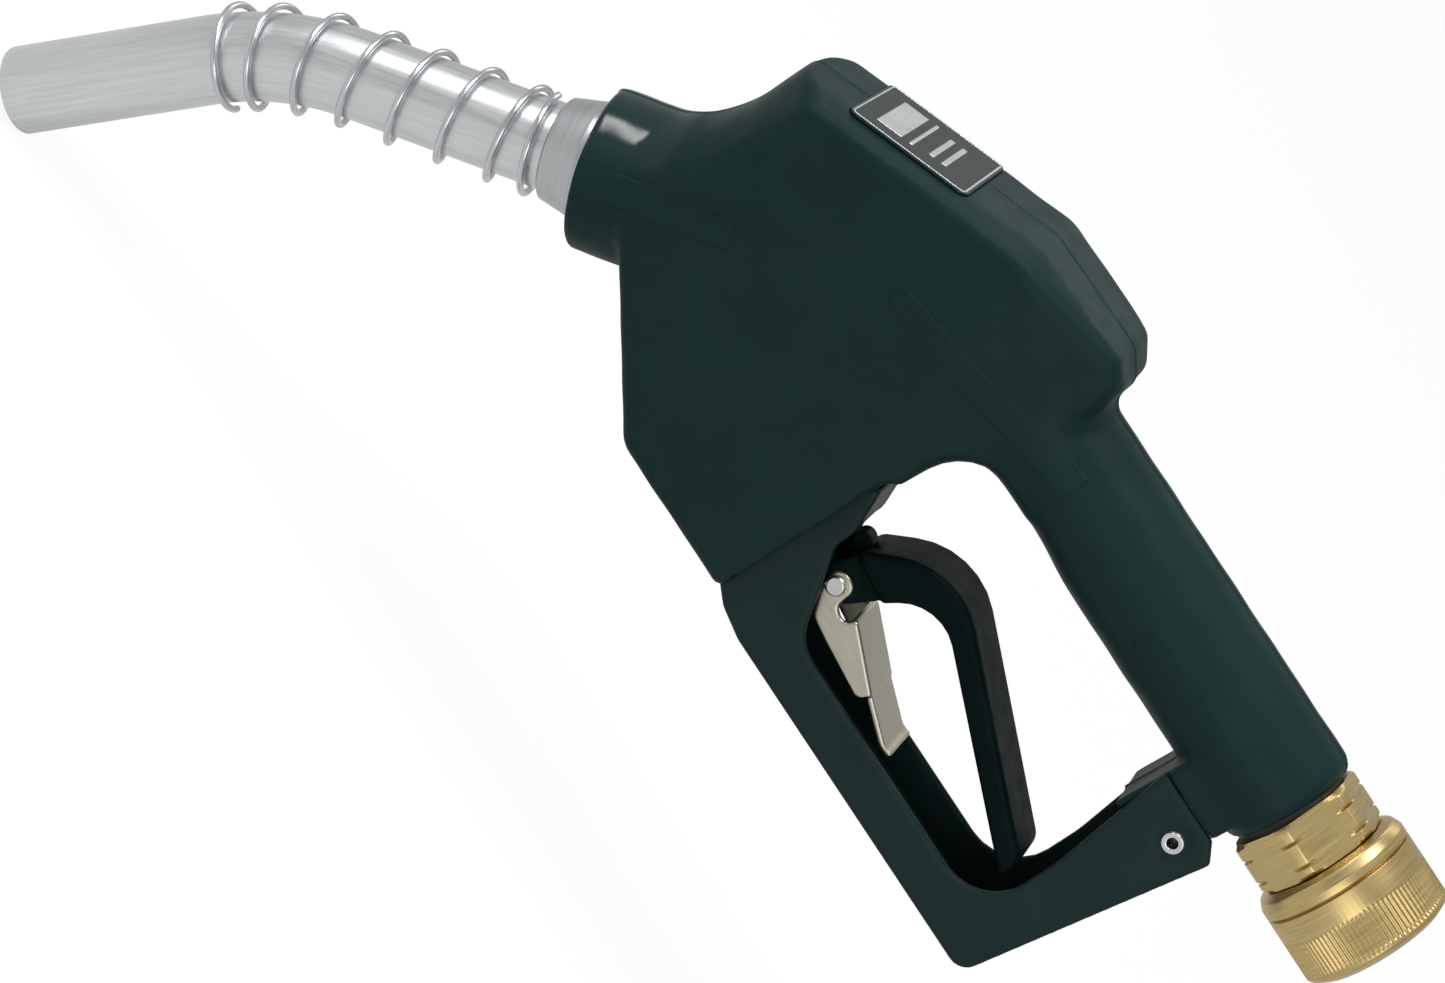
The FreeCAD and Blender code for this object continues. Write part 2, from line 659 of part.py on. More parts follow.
def guard_screws():
    screws = []
    for side, way in ((1, 90), (-1, -90)):
        for z in ("guard_screw_high", "guard_screw_low"):
            screw = turned("guard_screw_%d" % len(screws), [
                ("guard_inside - guard_screw_deep + 0.2", "0"),
                ("guard_inside - guard_screw_deep + 0.2", "guard_screw_radius"),
                ("guard_half", "guard_screw_radius"), ("guard_half", "guard_screw_head"),
                ("guard_half + 0.6", "guard_screw_head"),
                ("guard_half + guard_screw_tall - 0.8", "guard_screw_radius"),
                ("guard_half + guard_screw_tall - 0.8", "0")])
            place(screw, "guard_screw_x", z, turn=Rotation(Vector(0, 0, 1), way))
            screws.append(screw)
    return group("guard_screws", screws)


# ---------------------------------------------------------------- lever and clip

def lever():
    body = new_body("lever")
    blade = [("-164.2", "-59"), ("-157.3", "-50.3"), ("-150", "-45.6"), ("-142.7", "-43.2"),
             ("-137.9", "-42.9"), ("-131", "-44.6"), ("-123.4", "-47.9"), ("-75.1", "-68.7"),
             ("-71.4", "-71.4"), ("-69", "-75"), ("-69.4", "-77"), ("-72.6", "-76.7"),
             ("-80.7", "-73.2"), ("-122.8", "-55.4"), ("-130.5", "-52.2"), ("-136.3", "-51.5"),
             ("-142.1", "-52.9"), ("-147", "-56.8"), ("-149.9", "-62")]
    slab(body, blade, "lever_half")
    round_edges(body, "2.2", long_rim(size("lever_half"), 20.0))
    ears = [("-163.6", "-58.2"), ("-152", "-58"), ("-151", "-62"), ("-155.9", "-72"),
            ("-166.1", "-72"), ("-166.4", "-67")]
    slab(body, ears, "ear_half")
    disc(body, "pin_x", "pin_z", "ear_radius", "ear_half")
    fork = [("-175", "-58"), ("-158", "-58"), ("-150", "-64"), ("-150", "-80"), ("-175", "-80")]
    slab(body, fork, "fork_half", cut=True)
    arm = [("-164", "-56"), ("-158", "-57"), ("-158.5", "-61.5"), ("-166", "-62.8")]
    slab(body, arm, "lobe_half")
    disc(body, "lobe_x", "lobe_z", "lobe_radius", "lobe_half")
    disc(body, "pin_x", "pin_z", "pin_radius + pin_fit", "lever_half", cut=True)
    return body


def lever_pin():
    head = "pin_half + pin_head_thick"
    pin = turned("lever_pin", [
        ("0 - pin_half - pin_head_thick", "0"), ("0 - pin_half - pin_head_thick", "pin_head - 0.6"),
        ("0 - pin_half - 0.9", "pin_head"), ("0 - pin_half", "pin_head"),
        ("0 - pin_half", "pin_radius"), ("pin_half", "pin_radius"), ("pin_half", "pin_head"),
        ("pin_half + 0.9", "pin_head"), (head, "pin_head - 0.6"), (head, "0")])
    place(pin, "pin_x", "pin_z", turn=Rotation(Vector(0, 0, 1), 90))
    return pin


def hold_open_clip():
    body = new_body("hold_open_clip")
    cheek = [("-164.9", "-67.7"), ("-164", "-72.5"), ("-161.5", "-75.4"), ("-156.7", "-80.3"),
             ("-152.8", "-81.5"), ("-134.4", "-83.6"), ("-132", "-83.2"), ("-130", "-79.8"),
             ("-149.4", "-71.1"), ("-151.3", "-74.9"), ("-154.7", "-72.5"), ("-157", "-69"),
             ("-158", "-66.5"), ("-161", "-65.6"), ("-164", "-66.4")]
    slab(body, cheek, "clip_half")
    inside = [("-175", "-100"), ("-120", "-100"), ("-120", "-84.9"), ("-130.6", "-81.2"),
              ("-151.6", "-71.7"), ("-151.6", "-50"), ("-175", "-50")]
    slab(body, inside, "clip_inside", cut=True)
    tongue = [("-150", "-70.9"), ("-131", "-79.3"), ("-116", "-85.1"), ("-113.6", "-85.1"),
              ("-114.6", "-86.6"), ("-117", "-86.4"), ("-131.6", "-80.8"), ("-150.6", "-72.3")]
    slab(body, tongue, "tongue_half")
    disc(body, "pin_x", "pin_z", "pin_radius + pin_fit", "clip_half", cut=True)
    return body


# ---------------------------------------------------------------- main valve

def stem_gland():
    gland = turned("stem_gland", [
        ("gland_front", "rod_radius + rod_fit"), ("gland_front", "valve_bore"),
        ("gland_front + 2.0", "valve_bore"), ("gland_front + 2.0", "valve_bore - 1.2"),
        ("gland_front + 4.0", "valve_bore - 1.2"), ("gland_front + 4.0", "valve_bore"),
        ("gland_back", "valve_bore"), ("gland_back", "gland_nose_radius"),
        ("gland_nose", "gland_nose_radius - 0.8"), ("gland_nose", "rod_radius + rod_fit"),
        ("gland_seal_at + gland_seal_half", "rod_radius + rod_fit"),
        ("gland_seal_at + gland_seal_half", "rod_radius + 1.8"),
        ("gland_seal_at - gland_seal_half", "rod_radius + 1.8"),
        ("gland_seal_at - gland_seal_half", "rod_radius + rod_fit")])
    place(gland, z="valve_z")
    return gland


def gland_seals():
    inner = o_ring("rod_seal", "rod_radius + 0.87", "0.8", "gland_seal_at", "valve_z")
    outer = o_ring("plug_seal", "valve_bore - 0.6", "0.56", "gland_front + 3.0", "valve_z")
    return group("gland_seals", [inner, outer])


def main_poppet():
    seal_back = "seat_front - seal_gap - seal_thick"
    poppet = turned("main_poppet", [
        ("hub_end", "0"), ("hub_end", "poppet_hub - 0.8"), ("hub_end + 0.8", "poppet_hub"),
        ("poppet_back", "poppet_hub"), ("poppet_back", "poppet_radius"),
        (seal_back, "poppet_radius"), (seal_back, "rod_radius"),
        ("rod_seat", "rod_radius"), ("rod_seat", "0")])
    place(poppet, z="valve_z")
    return poppet


def poppet_seal():
    seal = tube("poppet_seal", "seat_front - seal_gap - seal_thick", "seat_front - seal_gap",
                "rod_radius", "poppet_radius - 0.4")
    place(seal, z="valve_z")
    return seal


def push_rod():
    piece = turned("push_rod", [
        ("rod_seat", "0"), ("rod_seat", "rod_radius"), ("rod_end - 0.8", "rod_radius"),
        ("rod_end", "rod_radius - 0.8"), ("rod_end", "0")])
    place(piece, z="valve_z")
    return piece


def valve_seat_ring():
    ring = turned("valve_seat_ring", [
        ("seat_front", "seat_hole"), ("seat_front", "valve_bore"), ("seat_back", "valve_bore"),
        ("seat_back", "seat_hole + 1.0"), ("seat_back - 1.0", "seat_hole")])
    place(ring, z="valve_z")
    return ring


def main_valve_spring():
    spring = coil("main_valve_spring", "main_coil", "main_wire", "main_pitch",
                  "poppet_back - valve_end - 2.0")
    place(spring, "valve_end + 1.0", "valve_z", turn=ALONG_X)
    return spring


def chamber_cap():
    cap = turned("chamber_cap", [
        ("cap_top - cap_depth", "0"), ("cap_top - cap_depth", "cap_radius"),
        ("cap_top - 4.4", "cap_radius"), ("cap_top - 4.4", "cap_radius - 1.6"),
        ("cap_top - 2.2", "cap_radius - 1.6"), ("cap_top - 2.2", "cap_radius"),
        ("cap_top - 0.6", "cap_radius"), ("cap_top", "cap_radius - 0.6"),
        ("cap_top", "cap_hex"), ("cap_top - 4.0", "cap_hex"), ("cap_top - 5.0", "0")])
    place(cap, "chamber_at", turn=ALONG_Z)
    return cap


def chamber_cap_oring():
    ring = primitive("Torus", "chamber_cap_oring", Radius1="cap_radius - 0.8", Radius2="0.78")
    place(ring, "chamber_at", "cap_top - 3.3")
    return ring


# ---------------------------------------------------------------- trip and latch

def trip_plunger():
    body = turned("trip_plunger", [
        ("trip_front", "0"), ("trip_front", "trip_radius - 0.8"),
        ("trip_front + 0.8", "trip_radius"), ("collar_front + 0.02", "trip_radius"),
        ("collar_front + 0.02", "trip_collar"), ("collar_back", "trip_collar"),
        ("collar_back", "trip_radius"), ("-172", "trip_radius"), ("-172", "0")])
    # the body's own X axis is the plunger's, so heights here count from trip_z
    arm = [("-174", "-3.6"), ("-164", "-1.2"), ("-157.6", "6.4"), ("-157.6", "13.2"),
           ("-163", "14.6"), ("-166", "11"), ("-170", "4"), ("-174", "3")]
    slab(body, arm, "3.9")
    disc(body, "pin_x", "pin_z - trip_z", "eye_radius", "3.9")
    disc(body, "pin_x", "pin_z - trip_z", "pin_radius", "3.9", cut=True)
    near = "latch_x - latch_radius - latch_gap"
    notch = [(near, "0 - trip_radius - 0.5"), (near, "0 - trip_radius"),
             (near + " + trip_travel", "latch_top - trip_z + latch_gap"),
             ("latch_x + latch_radius + 0.3", "latch_top - trip_z + latch_gap"),
             ("latch_x + latch_radius + 0.3", "0 - trip_radius - 0.5")]
    slab(body, notch, "5.0", cut=True)
    place(body, z="trip_z")
    return body


def trip_spring():
    spring = coil("trip_spring", "trip_coil", "trip_wire", "trip_pitch",
                  "retainer_front - collar_back - 1.3")
    place(spring, "collar_back + 0.65", "trip_z", turn=ALONG_X)
    return spring


def trip_retainer():
    nut = turned("trip_retainer", [
        ("retainer_front", "trip_radius + trip_fit"), ("retainer_front", "retainer_radius"),
        ("retainer_back", "retainer_radius"), ("retainer_back + 1.6", "retainer_radius - 1.6"),
        ("retainer_back + 1.6", "trip_radius + trip_fit")])
    place(nut, z="trip_z")
    return nut


def latch_pin():
    """A round pin whose flank leans, so that it wedges the plunger's notch."""
    body = turned("latch_pin", [
        ("latch_foot", "0"), ("latch_foot", "latch_flange"), ("latch_foot + 1.2", "latch_flange"),
        ("latch_foot + 1.2", "latch_radius"), ("latch_top", "latch_radius"), ("latch_top", "0")])
    # local X is up, so local Z is the nozzle's -X
    flank = [("trip_z - trip_radius", "latch_radius"),
             ("latch_top", "latch_radius - trip_travel"),
             ("latch_top + 1.0", "latch_radius - trip_travel - 1.5"),
             ("latch_top + 1.0", "latch_radius + 1.0"),
             ("trip_z - trip_radius", "latch_radius + 1.0")]
    slab(body, flank, "5.0", cut=True)
    place(body, "latch_x", turn=ALONG_Z)
    return body


def diaphragm():
    """A dished rubber disc under the latch pin's foot."""
    disc_body = turned("diaphragm", [
        ("membrane_top - 0.8", "0"), ("membrane_top", "0"), ("membrane_top", "latch_flange"),
        ("dome_cap_top + 0.8", "membrane_radius - 1.0"), ("dome_cap_top + 0.8", "membrane_radius"),
        ("dome_cap_top", "membrane_radius"), ("dome_cap_top", "membrane_radius - 1.0"),
        ("membrane_top - 0.8", "latch_flange")])
    place(disc_body, "latch_x", turn=ALONG_Z)
    return disc_body


def diaphragm_spring():
    spring = coil("diaphragm_spring", "dome_coil", "dome_wire", "dome_pitch",
                  "dome_spring_long - 0.9")
    place(spring, "latch_x", "dome_cap_top - dome_cap_pit + 0.35")
    return spring


def diaphragm_cap():
    half = "dome_cap_half"
    block = primitive("Box", "dome_cap_block", Length=half + " + " + half,
                      Width="dome_cap_side + dome_cap_side",
                      Height="dome_cap_top - dome_cap_floor")
    place(block, "latch_x - dome_cap_half", "dome_cap_floor", "0 - dome_cap_side")
    holes = []
    for number, (x, y) in enumerate(screw_spots()):
        hole = primitive("Cylinder", "dome_cap_hole_%d" % number, Radius="screw_radius",
                         Height="10")
        hole.Placement = Placement(Vector(x, y, size("dome_cap_floor") - 2.0), Rotation())
        head = primitive("Cylinder", "dome_cap_head_%d" % number, Radius="screw_head",
                         Height="screw_head_high + 2.0")
        head.Placement = Placement(Vector(x, y, size("dome_cap_floor") - 2.0), Rotation())
        holes += [hole, head]
    pit = primitive("Cylinder", "dome_cap_pit", Radius="dome_cap_pit_radius", Height="5")
    place(pit, "latch_x", "dome_cap_top - dome_cap_pit")
    holes.append(pit)
    return boolean("Cut", "diaphragm_cap", block, group("dome_cap_holes", holes))


def diaphragm_cap_screws():
    screws = []
    for x, y in screw_spots():
        screw = turned("dome_screw_%d" % len(screws), [
            ("dome_cap_floor", "0"), ("dome_cap_floor", "screw_head"),
            ("dome_cap_floor + screw_head_high", "screw_head"),
            ("dome_cap_floor + screw_head_high", "screw_radius"),
            ("dome_cap_top + 4.6", "screw_radius"), ("dome_cap_top + 4.6", "0")])
        screw.Placement = Placement(Vector(x, y, 0), ALONG_Z)
        screws.append(screw)
    return group("diaphragm_cap_screws", screws)


# ---------------------------------------------------------------- spout

def spout_path(offset=0.0, start=None, end_off=0.0):
    """The spout's centre line in its own plane: straight, a bend, straight."""
    begin = size("spout_start") if start is None else start
    turn = math.radians(size("bend_turn"))
    radius = size("bend_radius")
    reach = radius * math.tan(turn / 2)
    bend_in = size("bend_corner") - reach
    centre = Vector(bend_in, 0, -radius)

    def on_arc(angle):
        out = radius + offset
        return Vector(bend_in + out * math.sin(angle), 0, -radius + out * math.cos(angle))

    last = on_arc(turn)
    run = size("tip_length") - reach - end_off
    tip = last + Vector(math.cos(turn), 0, -math.sin(turn)) * run
    first = Part.makeLine(Vector(begin, 0, offset), on_arc(0))
    bend = Part.Arc(on_arc(0), on_arc(turn / 2), last).toShape()
    return Part.Wire([first, bend, Part.makeLine(last, tip)])


def swept_ring(path, outer, inner):
    """A pipe along the path. A zero inner radius makes it solid."""
    start = path.Vertexes[0].Point
    pipes = []
    for radius in (outer, inner):
        loop = Part.Wire([Part.makeCircle(radius, start, Vector(1, 0, 0))])
        pipes.append(path.makePipeShell([loop], True, False))
    return pipes[0].cut(pipes[1])


def spout_frame():
    return Placement(NOSE, DOWN_SPOUT)


def port_place():
    """Where the sensor's port goes through the spout's upper side, and its outward way."""
    path = spout_path(size("sensor_offset"), size("sensor_start"), size("sensor_back_off"))
    turn = math.radians(size("bend_turn"))
    end = path.Vertexes[-1].Point
    return end, Vector(math.sin(turn), 0, math.cos(turn))


def spout_tube():
    pipe = swept_ring(spout_path(), size("spout_radius"), size("spout_bore"))
    spot, up = port_place()
    pipe = pipe.cut(rod_shape(spot, up, 10.0, size("port_radius")))
    screw_hole = rod_shape(Vector(size("set_screw_at"), 0, 11.9), Vector(0, 0, 1), 4.0,
                           size("set_screw_radius"))
    return shaped("spout_tube", pipe.cut(screw_hole), spout_frame())


def sensor_tube():
    path = spout_path(size("sensor_offset"), size("sensor_start"), size("sensor_back_off") + 3.3)
    pipe = swept_ring(path, size("sensor_radius"), size("sensor_bore"))
    return shaped("sensor_tube", pipe, spout_frame())


def sensor_fitting():
    spot, up = port_place()
    low = spot - up * 2.6
    plug = rod_shape(low, up, size("spout_radius") - size("sensor_offset") + 2.2,
                     size("port_radius"))
    hole = rod_shape(spot, up, 10.0, size("port_hole"))
    ahead = Vector(up.z, 0, -up.x)
    side = rod_shape(spot - ahead * 4.0, ahead, 4.0, size("port_hole"))
    return shaped("sensor_fitting", plug.cut([hole, side]), spout_frame())


def spout_collar():
    blank = turned("collar_blank", [
        ("collar_start", "spout_radius"), ("collar_start", "collar_thread"),
        ("collar_seat", "collar_thread"), ("collar_seat", "collar_big"),
        ("collar_face", "collar_big"), ("collar_end - 0.6", "collar_small"),
        ("collar_end", "collar_small - 0.6"), ("collar_end", "spout_radius"),
        ("oring_at + oring_half", "spout_radius"), ("oring_at + oring_half", "oring_floor"),
        ("oring_at - oring_half", "oring_floor"), ("oring_at - oring_half", "spout_radius")])
    hole = primitive("Cylinder", "collar_hole", Radius="set_screw_radius", Height="10")
    hole.Placement = spout_frame().multiply(
        Placement(Vector(size("set_screw_at"), 0, 10.0), Rotation()))
    place_on_spout(blank)
    return boolean("Cut", "spout_collar", blank, hole)


def collar_set_screw():
    screw = turned("collar_set_screw", [
        ("12.0", "0"), ("12.0", "set_screw_radius"), ("15.2", "set_screw_radius"),
        ("15.2", "0.7"), ("14.0", "0.7"), ("14.0", "0")])
    screw.Placement = spout_frame().multiply(
        Placement(Vector(size("set_screw_at"), 0, 0), ALONG_Z))
    return screw


def spout_oring():
    ring = primitive("Torus", "spout_oring", Radius1="oring_circle", Radius2="oring_wire")
    ring.Placement = spout_frame().multiply(
        Placement(Vector(size("oring_at"), 0, 0), ALONG_X))
    return ring


def spout_spring():
    """A coil round the spout. It follows the bend and stands off a little on its outside."""
    turn = math.radians(size("bend_turn"))
    radius = size("bend_radius")
    bend_in = size("bend_corner") - radius * math.tan(turn / 2)
    first = size("coil_first")
    last = size("coil_last")
    turns = size("coil_turns")
    steps = int(turns * COIL_STEPS)
    points = []
    for step in range(steps + 1):
        share = step / steps
        along = first + (last - first) * share
        bent = min(max((along - bend_in) / radius, 0.0), turn)
        lift = size("coil_bulge") * bent / turn
        middle = Vector(min(along, bend_in) + radius * math.sin(bent), 0,
                        radius * (math.cos(bent) - 1))
        up = Vector(math.sin(bent), 0, math.cos(bent))
        around = 2 * math.pi * turns * share
        spread = size("spout_coil") + 0.3 * lift
        points.append(middle + up * (spread * math.cos(around) + lift)
                      + Vector(0, spread * math.sin(around), 0))
    spring = sprung("spout_spring", points, "spout_wire")
    spring.Placement = spout_frame()
    return spring


def check_valve_seat():
    seat = turned("check_valve_seat", [
        ("check_seat_front", "check_seat_hole"), ("check_seat_front", "check_bore"),
        ("check_seat_back", "check_bore"), ("check_seat_back", "check_seat_hole")])
    place_on_spout(seat)
    return seat


def check_valve_poppet():
    poppet = turned("check_valve_poppet", [
        ("check_face", "0"), ("check_face", "check_radius - 0.8"),
        ("check_face + 0.8", "check_radius"), ("check_back - 0.6", "check_radius"),
        ("check_back", "check_radius - 0.6"), ("check_back", "check_stem"),
        ("check_stem_end", "check_stem"), ("check_stem_end", "0")])
    place_on_spout(poppet)
    return poppet


def check_valve_guide():
    """A rim and a hub joined by three arms."""
    rim = tube("guide_ring", "guide_front", "guide_back", "guide_rim", "check_bore")
    hub = tube("guide_centre", "guide_front", "guide_back", "guide_bore", "guide_hub")
    place_on_spout(rim)
    place_on_spout(hub)
    arms = []
    for number in range(3):
        arm = primitive("Box", "guide_arm_%d" % number, Length="guide_back - guide_front",
                        Width="guide_arm + guide_arm", Height="guide_rim - guide_hub + 1.0")
        spot = Placement(Vector(size("guide_front"), -size("guide_arm"), size("guide_hub") - 0.5),
                         Rotation())
        around = Placement(Vector(0, 0, 0), Rotation(Vector(1, 0, 0), 60 + 120 * number))
        arm.Placement = spout_frame().multiply(around.multiply(spot))
        arms.append(arm)
    guide = doc.addObject("Part::MultiFuse", "check_valve_guide")
    guide.Label = "check_valve_guide"
    guide.Shapes = [rim, hub] + arms
    doc.recompute()
    return guide


def check_valve_spring():
    spring = coil("check_valve_spring", "check_coil", "check_wire", "check_pitch",
                  "guide_front - check_back - 1.4")
    spring.Placement = spout_frame().multiply(
        Placement(Vector(size("check_back") + 0.7, 0, 0), ALONG_X))
    return spring


def inlet_strainer():
    return turned("inlet_strainer", [
        ("strainer_back", "strainer_inner"), ("strainer_back", "strainer_outer"),
        ("strainer_front", "strainer_outer"), ("strainer_tip", "5.0"), ("strainer_tip", "0"),
        ("strainer_tip + 0.6", "0"), ("strainer_tip + 0.6", "4.4"),
        ("strainer_front", "strainer_inner")])


# ---------------------------------------------------------------- the whole nozzle

def build():
    outer = head_shape(0.0)
    inner = head_shape(size("cover_wall"))
    nipple_gasket = tube("nipple_gasket", "gasket_back", "hex_front", "gasket_inner",
                         "gasket_outer")
    collar = spout_collar()
    pieces = [
        body_cover(outer, inner), body_casting(inner), label_plate(), lever_guard(),
        guard_rivet(), guard_screws(), swivel_ring(), inlet_nipple(), nipple_gasket,
        inlet_strainer(), swivel_balls(),
        o_ring("swivel_seals", "seal_circle", "seal_wire", "seal_at"),
        valve_seat_ring(), main_poppet(), poppet_seal(), push_rod(), main_valve_spring(),
        stem_gland(), gland_seals(), chamber_cap(), chamber_cap_oring(), trip_plunger(),
        trip_spring(), trip_retainer(), latch_pin(), diaphragm(), diaphragm_spring(),
        diaphragm_cap(), diaphragm_cap_screws(), lever(), lever_pin(), hold_open_clip(),
        spout_tube(), collar, spout_spring(), spout_oring(), collar_set_screw(),
        sensor_tube(), sensor_fitting(), check_valve_seat(), check_valve_poppet(),
        check_valve_guide(), check_valve_spring(),
    ]
    return pieces


pieces = build()
doc.recompute()
for item in doc.Objects:
    if "Invalid" in item.State or "Error" in item.State:
        raise RuntimeError("failed: " + item.Label)
for piece in pieces:
    if piece.Shape.isNull() or not piece.Shape.isValid() or not piece.Shape.Solids:
        raise RuntimeError("no sound solid: " + piece.Label)
os.makedirs("parts", exist_ok=True)
for piece in pieces:
    name = piece.Label
    piece.Shape.exportStep("parts/" + name + ".step")
    print(name, len(piece.Shape.Solids), round(piece.Shape.Volume, 1))
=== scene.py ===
"""The looks of the fuel nozzle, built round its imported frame.

Lengths in the shapes below are millimetres in the nozzle's own frame, and MM turns them into
metres. The soft moulded pieces are distance fields that are meshed here; the turned ones are
outlines that go round an axis.
"""

import json
import math

import bmesh
import bpy
import numpy as np
from mathutils import Matrix, Vector


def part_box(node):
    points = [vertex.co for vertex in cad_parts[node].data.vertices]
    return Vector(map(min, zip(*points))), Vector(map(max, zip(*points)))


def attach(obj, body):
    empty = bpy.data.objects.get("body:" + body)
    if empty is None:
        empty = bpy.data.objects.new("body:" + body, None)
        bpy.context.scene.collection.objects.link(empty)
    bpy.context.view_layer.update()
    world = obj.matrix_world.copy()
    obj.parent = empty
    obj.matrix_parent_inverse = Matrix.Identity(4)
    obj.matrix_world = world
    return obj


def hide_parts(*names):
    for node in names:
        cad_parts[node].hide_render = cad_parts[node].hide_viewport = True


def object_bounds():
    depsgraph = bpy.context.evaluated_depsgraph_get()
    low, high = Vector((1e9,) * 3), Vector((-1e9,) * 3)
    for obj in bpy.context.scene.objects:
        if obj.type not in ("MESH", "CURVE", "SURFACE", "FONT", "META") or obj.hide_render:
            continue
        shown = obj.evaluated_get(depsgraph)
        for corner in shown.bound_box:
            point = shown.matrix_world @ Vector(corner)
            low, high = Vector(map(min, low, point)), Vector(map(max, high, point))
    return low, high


MM = 0.001
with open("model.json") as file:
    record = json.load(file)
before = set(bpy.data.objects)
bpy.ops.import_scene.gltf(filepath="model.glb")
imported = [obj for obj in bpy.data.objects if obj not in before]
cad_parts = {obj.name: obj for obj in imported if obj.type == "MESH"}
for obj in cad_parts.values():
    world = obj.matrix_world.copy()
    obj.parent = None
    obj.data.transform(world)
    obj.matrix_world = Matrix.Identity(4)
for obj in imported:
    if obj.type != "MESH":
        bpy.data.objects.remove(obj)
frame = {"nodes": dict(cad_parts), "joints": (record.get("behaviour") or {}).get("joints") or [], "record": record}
cad_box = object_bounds()
nodes = frame["nodes"]
joints = {joint["name"]: joint for joint in frame["joints"]}


# ---------------------------------------------------------------- places

def middle(node):
    """The centre of a CAD node's box, in millimetres."""
    low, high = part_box(node)
    return (low + high) / 2 / MM


def tip_mount():
    """The centre of the spout's end and the way it points."""
    for mount in frame["record"]["mounts"]:
        if mount["name"] == "spout_tip":
            return Vector(mount["pos_m"]) / MM, Vector(mount["axis"]).normalized()
    raise RuntimeError("no spout_tip mount")


PIN = Vector(joints["lever_squeeze"]["pos_m"]) / MM
SPOUT_WAY = Vector(joints["check_slide"]["axis"]).normalized()
TIP, TIP_WAY = tip_mount()
NOSE = Vector((-293.8, 0, -65.1))
SIDE = Vector((0, 1, 0))
SPOUT_UP = Vector((SPOUT_WAY.z, 0, -SPOUT_WAY.x))
BEND_RADIUS = 96.0
BEND_TURN = SPOUT_WAY.angle(TIP_WAY)
TUBE_RADIUS = 12.5
GRIP_RADIUS = 19.1
GRIP_RISE = 0.95
NOSE_RADIUS = 23.1
NOSE_DROP = 1.2
COVER_WALL = 2.3
HEAD_HALF = 31.0
HEAD_CROWN = 3.2
HEAD_LEAN = 0.0966
HEAD_WIDE_AT = 22.0
PLATE_SLOPE = 20.8
PLATE_HALF_LONG = 19.3
PLATE_HALF_WIDE = 22.5
COIL_RADIUS = 14.45


def straight(start, way, up):
    """A straight path for a turned piece: its centre and two directions across it."""
    side = way.cross(up).normalized()

    def at(along):
        return start + way * along, up, side
    return at


def spout_lengths():
    """Where the bend starts and ends along the centre line, and the whole length."""
    reach = BEND_RADIUS * math.tan(BEND_TURN / 2)
    to_tip = TIP - NOSE
    sine = SPOUT_WAY.cross(TIP_WAY).dot(SIDE)
    corner = to_tip.cross(TIP_WAY).dot(SIDE) / sine
    bend_in = corner - reach
    bend_out = bend_in + BEND_RADIUS * BEND_TURN
    tip_run = (TIP - (NOSE + SPOUT_WAY * corner)).length - reach
    return bend_in, bend_out, bend_out + tip_run


BEND_IN, BEND_OUT, SPOUT_END = spout_lengths()


def spout_path(along):
    """The spout's centre line: straight, a bend, straight."""
    bent = min(max((along - BEND_IN) / BEND_RADIUS, 0.0), BEND_TURN)
    centre = NOSE + SPOUT_WAY * min(along, BEND_IN)
    centre = centre + SPOUT_WAY * (BEND_RADIUS * math.sin(bent))
    centre = centre - SPOUT_UP * (BEND_RADIUS * (1 - math.cos(bent)))
    centre = centre + TIP_WAY * max(along - BEND_OUT, 0.0)
    up = SPOUT_UP * math.cos(bent) + SPOUT_WAY * math.sin(bent)
    return centre, up, SIDE


# ---------------------------------------------------------------- outlines

def rounded(corners, steps=6):
    """A closed outline whose corners (u, v, radius) are turned into arcs."""
    points = []
    count = len(corners)
    for index, corner in enumerate(corners):
        here = Vector(corner[:2])
        radius = corner[2] if len(corner) > 2 else 0.0
        back = (Vector(corners[index - 1][:2]) - here).normalized()
        ahead = (Vector(corners[(index + 1) % count][:2]) - here).normalized()
        half = back.angle(ahead) / 2
        if radius <= 0 or abs(half - math.pi / 2) < 0.01:
            points.append(tuple(here))
            continue
        reach = radius / math.tan(half)
        centre = here + (back + ahead).normalized() * (radius / math.sin(half))
        start = here + back * reach - centre
        end = here + ahead * reach - centre
        sweep = math.atan2(start.x * end.y - start.y * end.x, start.dot(end))
        for step in range(steps + 1):
            turn = sweep * step / steps
            x = start.x * math.cos(turn) - start.y * math.sin(turn)
            y = start.x * math.sin(turn) + start.y * math.cos(turn)
            points.append((centre.x + x, centre.y + y))
    return points


# ---------------------------------------------------------------- meshes

def new_piece(name, vertices, faces, finish, body, stands_for=()):
    """A mesh in millimetres becomes a smooth piece that rides on a body."""
    mesh = bpy.data.meshes.new(name)
    mesh.from_pydata([tuple(float(c) * MM for c in vertex) for vertex in vertices], [], faces)
    mesh.validate()
    piece = bpy.data.objects.new(name, mesh)
    bpy.context.scene.collection.objects.link(piece)
    mesh.materials.append(finish)
    mesh.shade_smooth()
    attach(piece, body)
    if stands_for:
        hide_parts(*stands_for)
    return piece


def keep_edges_crisp(piece, angle=35):
    """Smooth shading that breaks at edges sharper than the angle."""
    mesh = piece.data
    mesh.set_sharp_from_angle(angle=math.radians(angle))


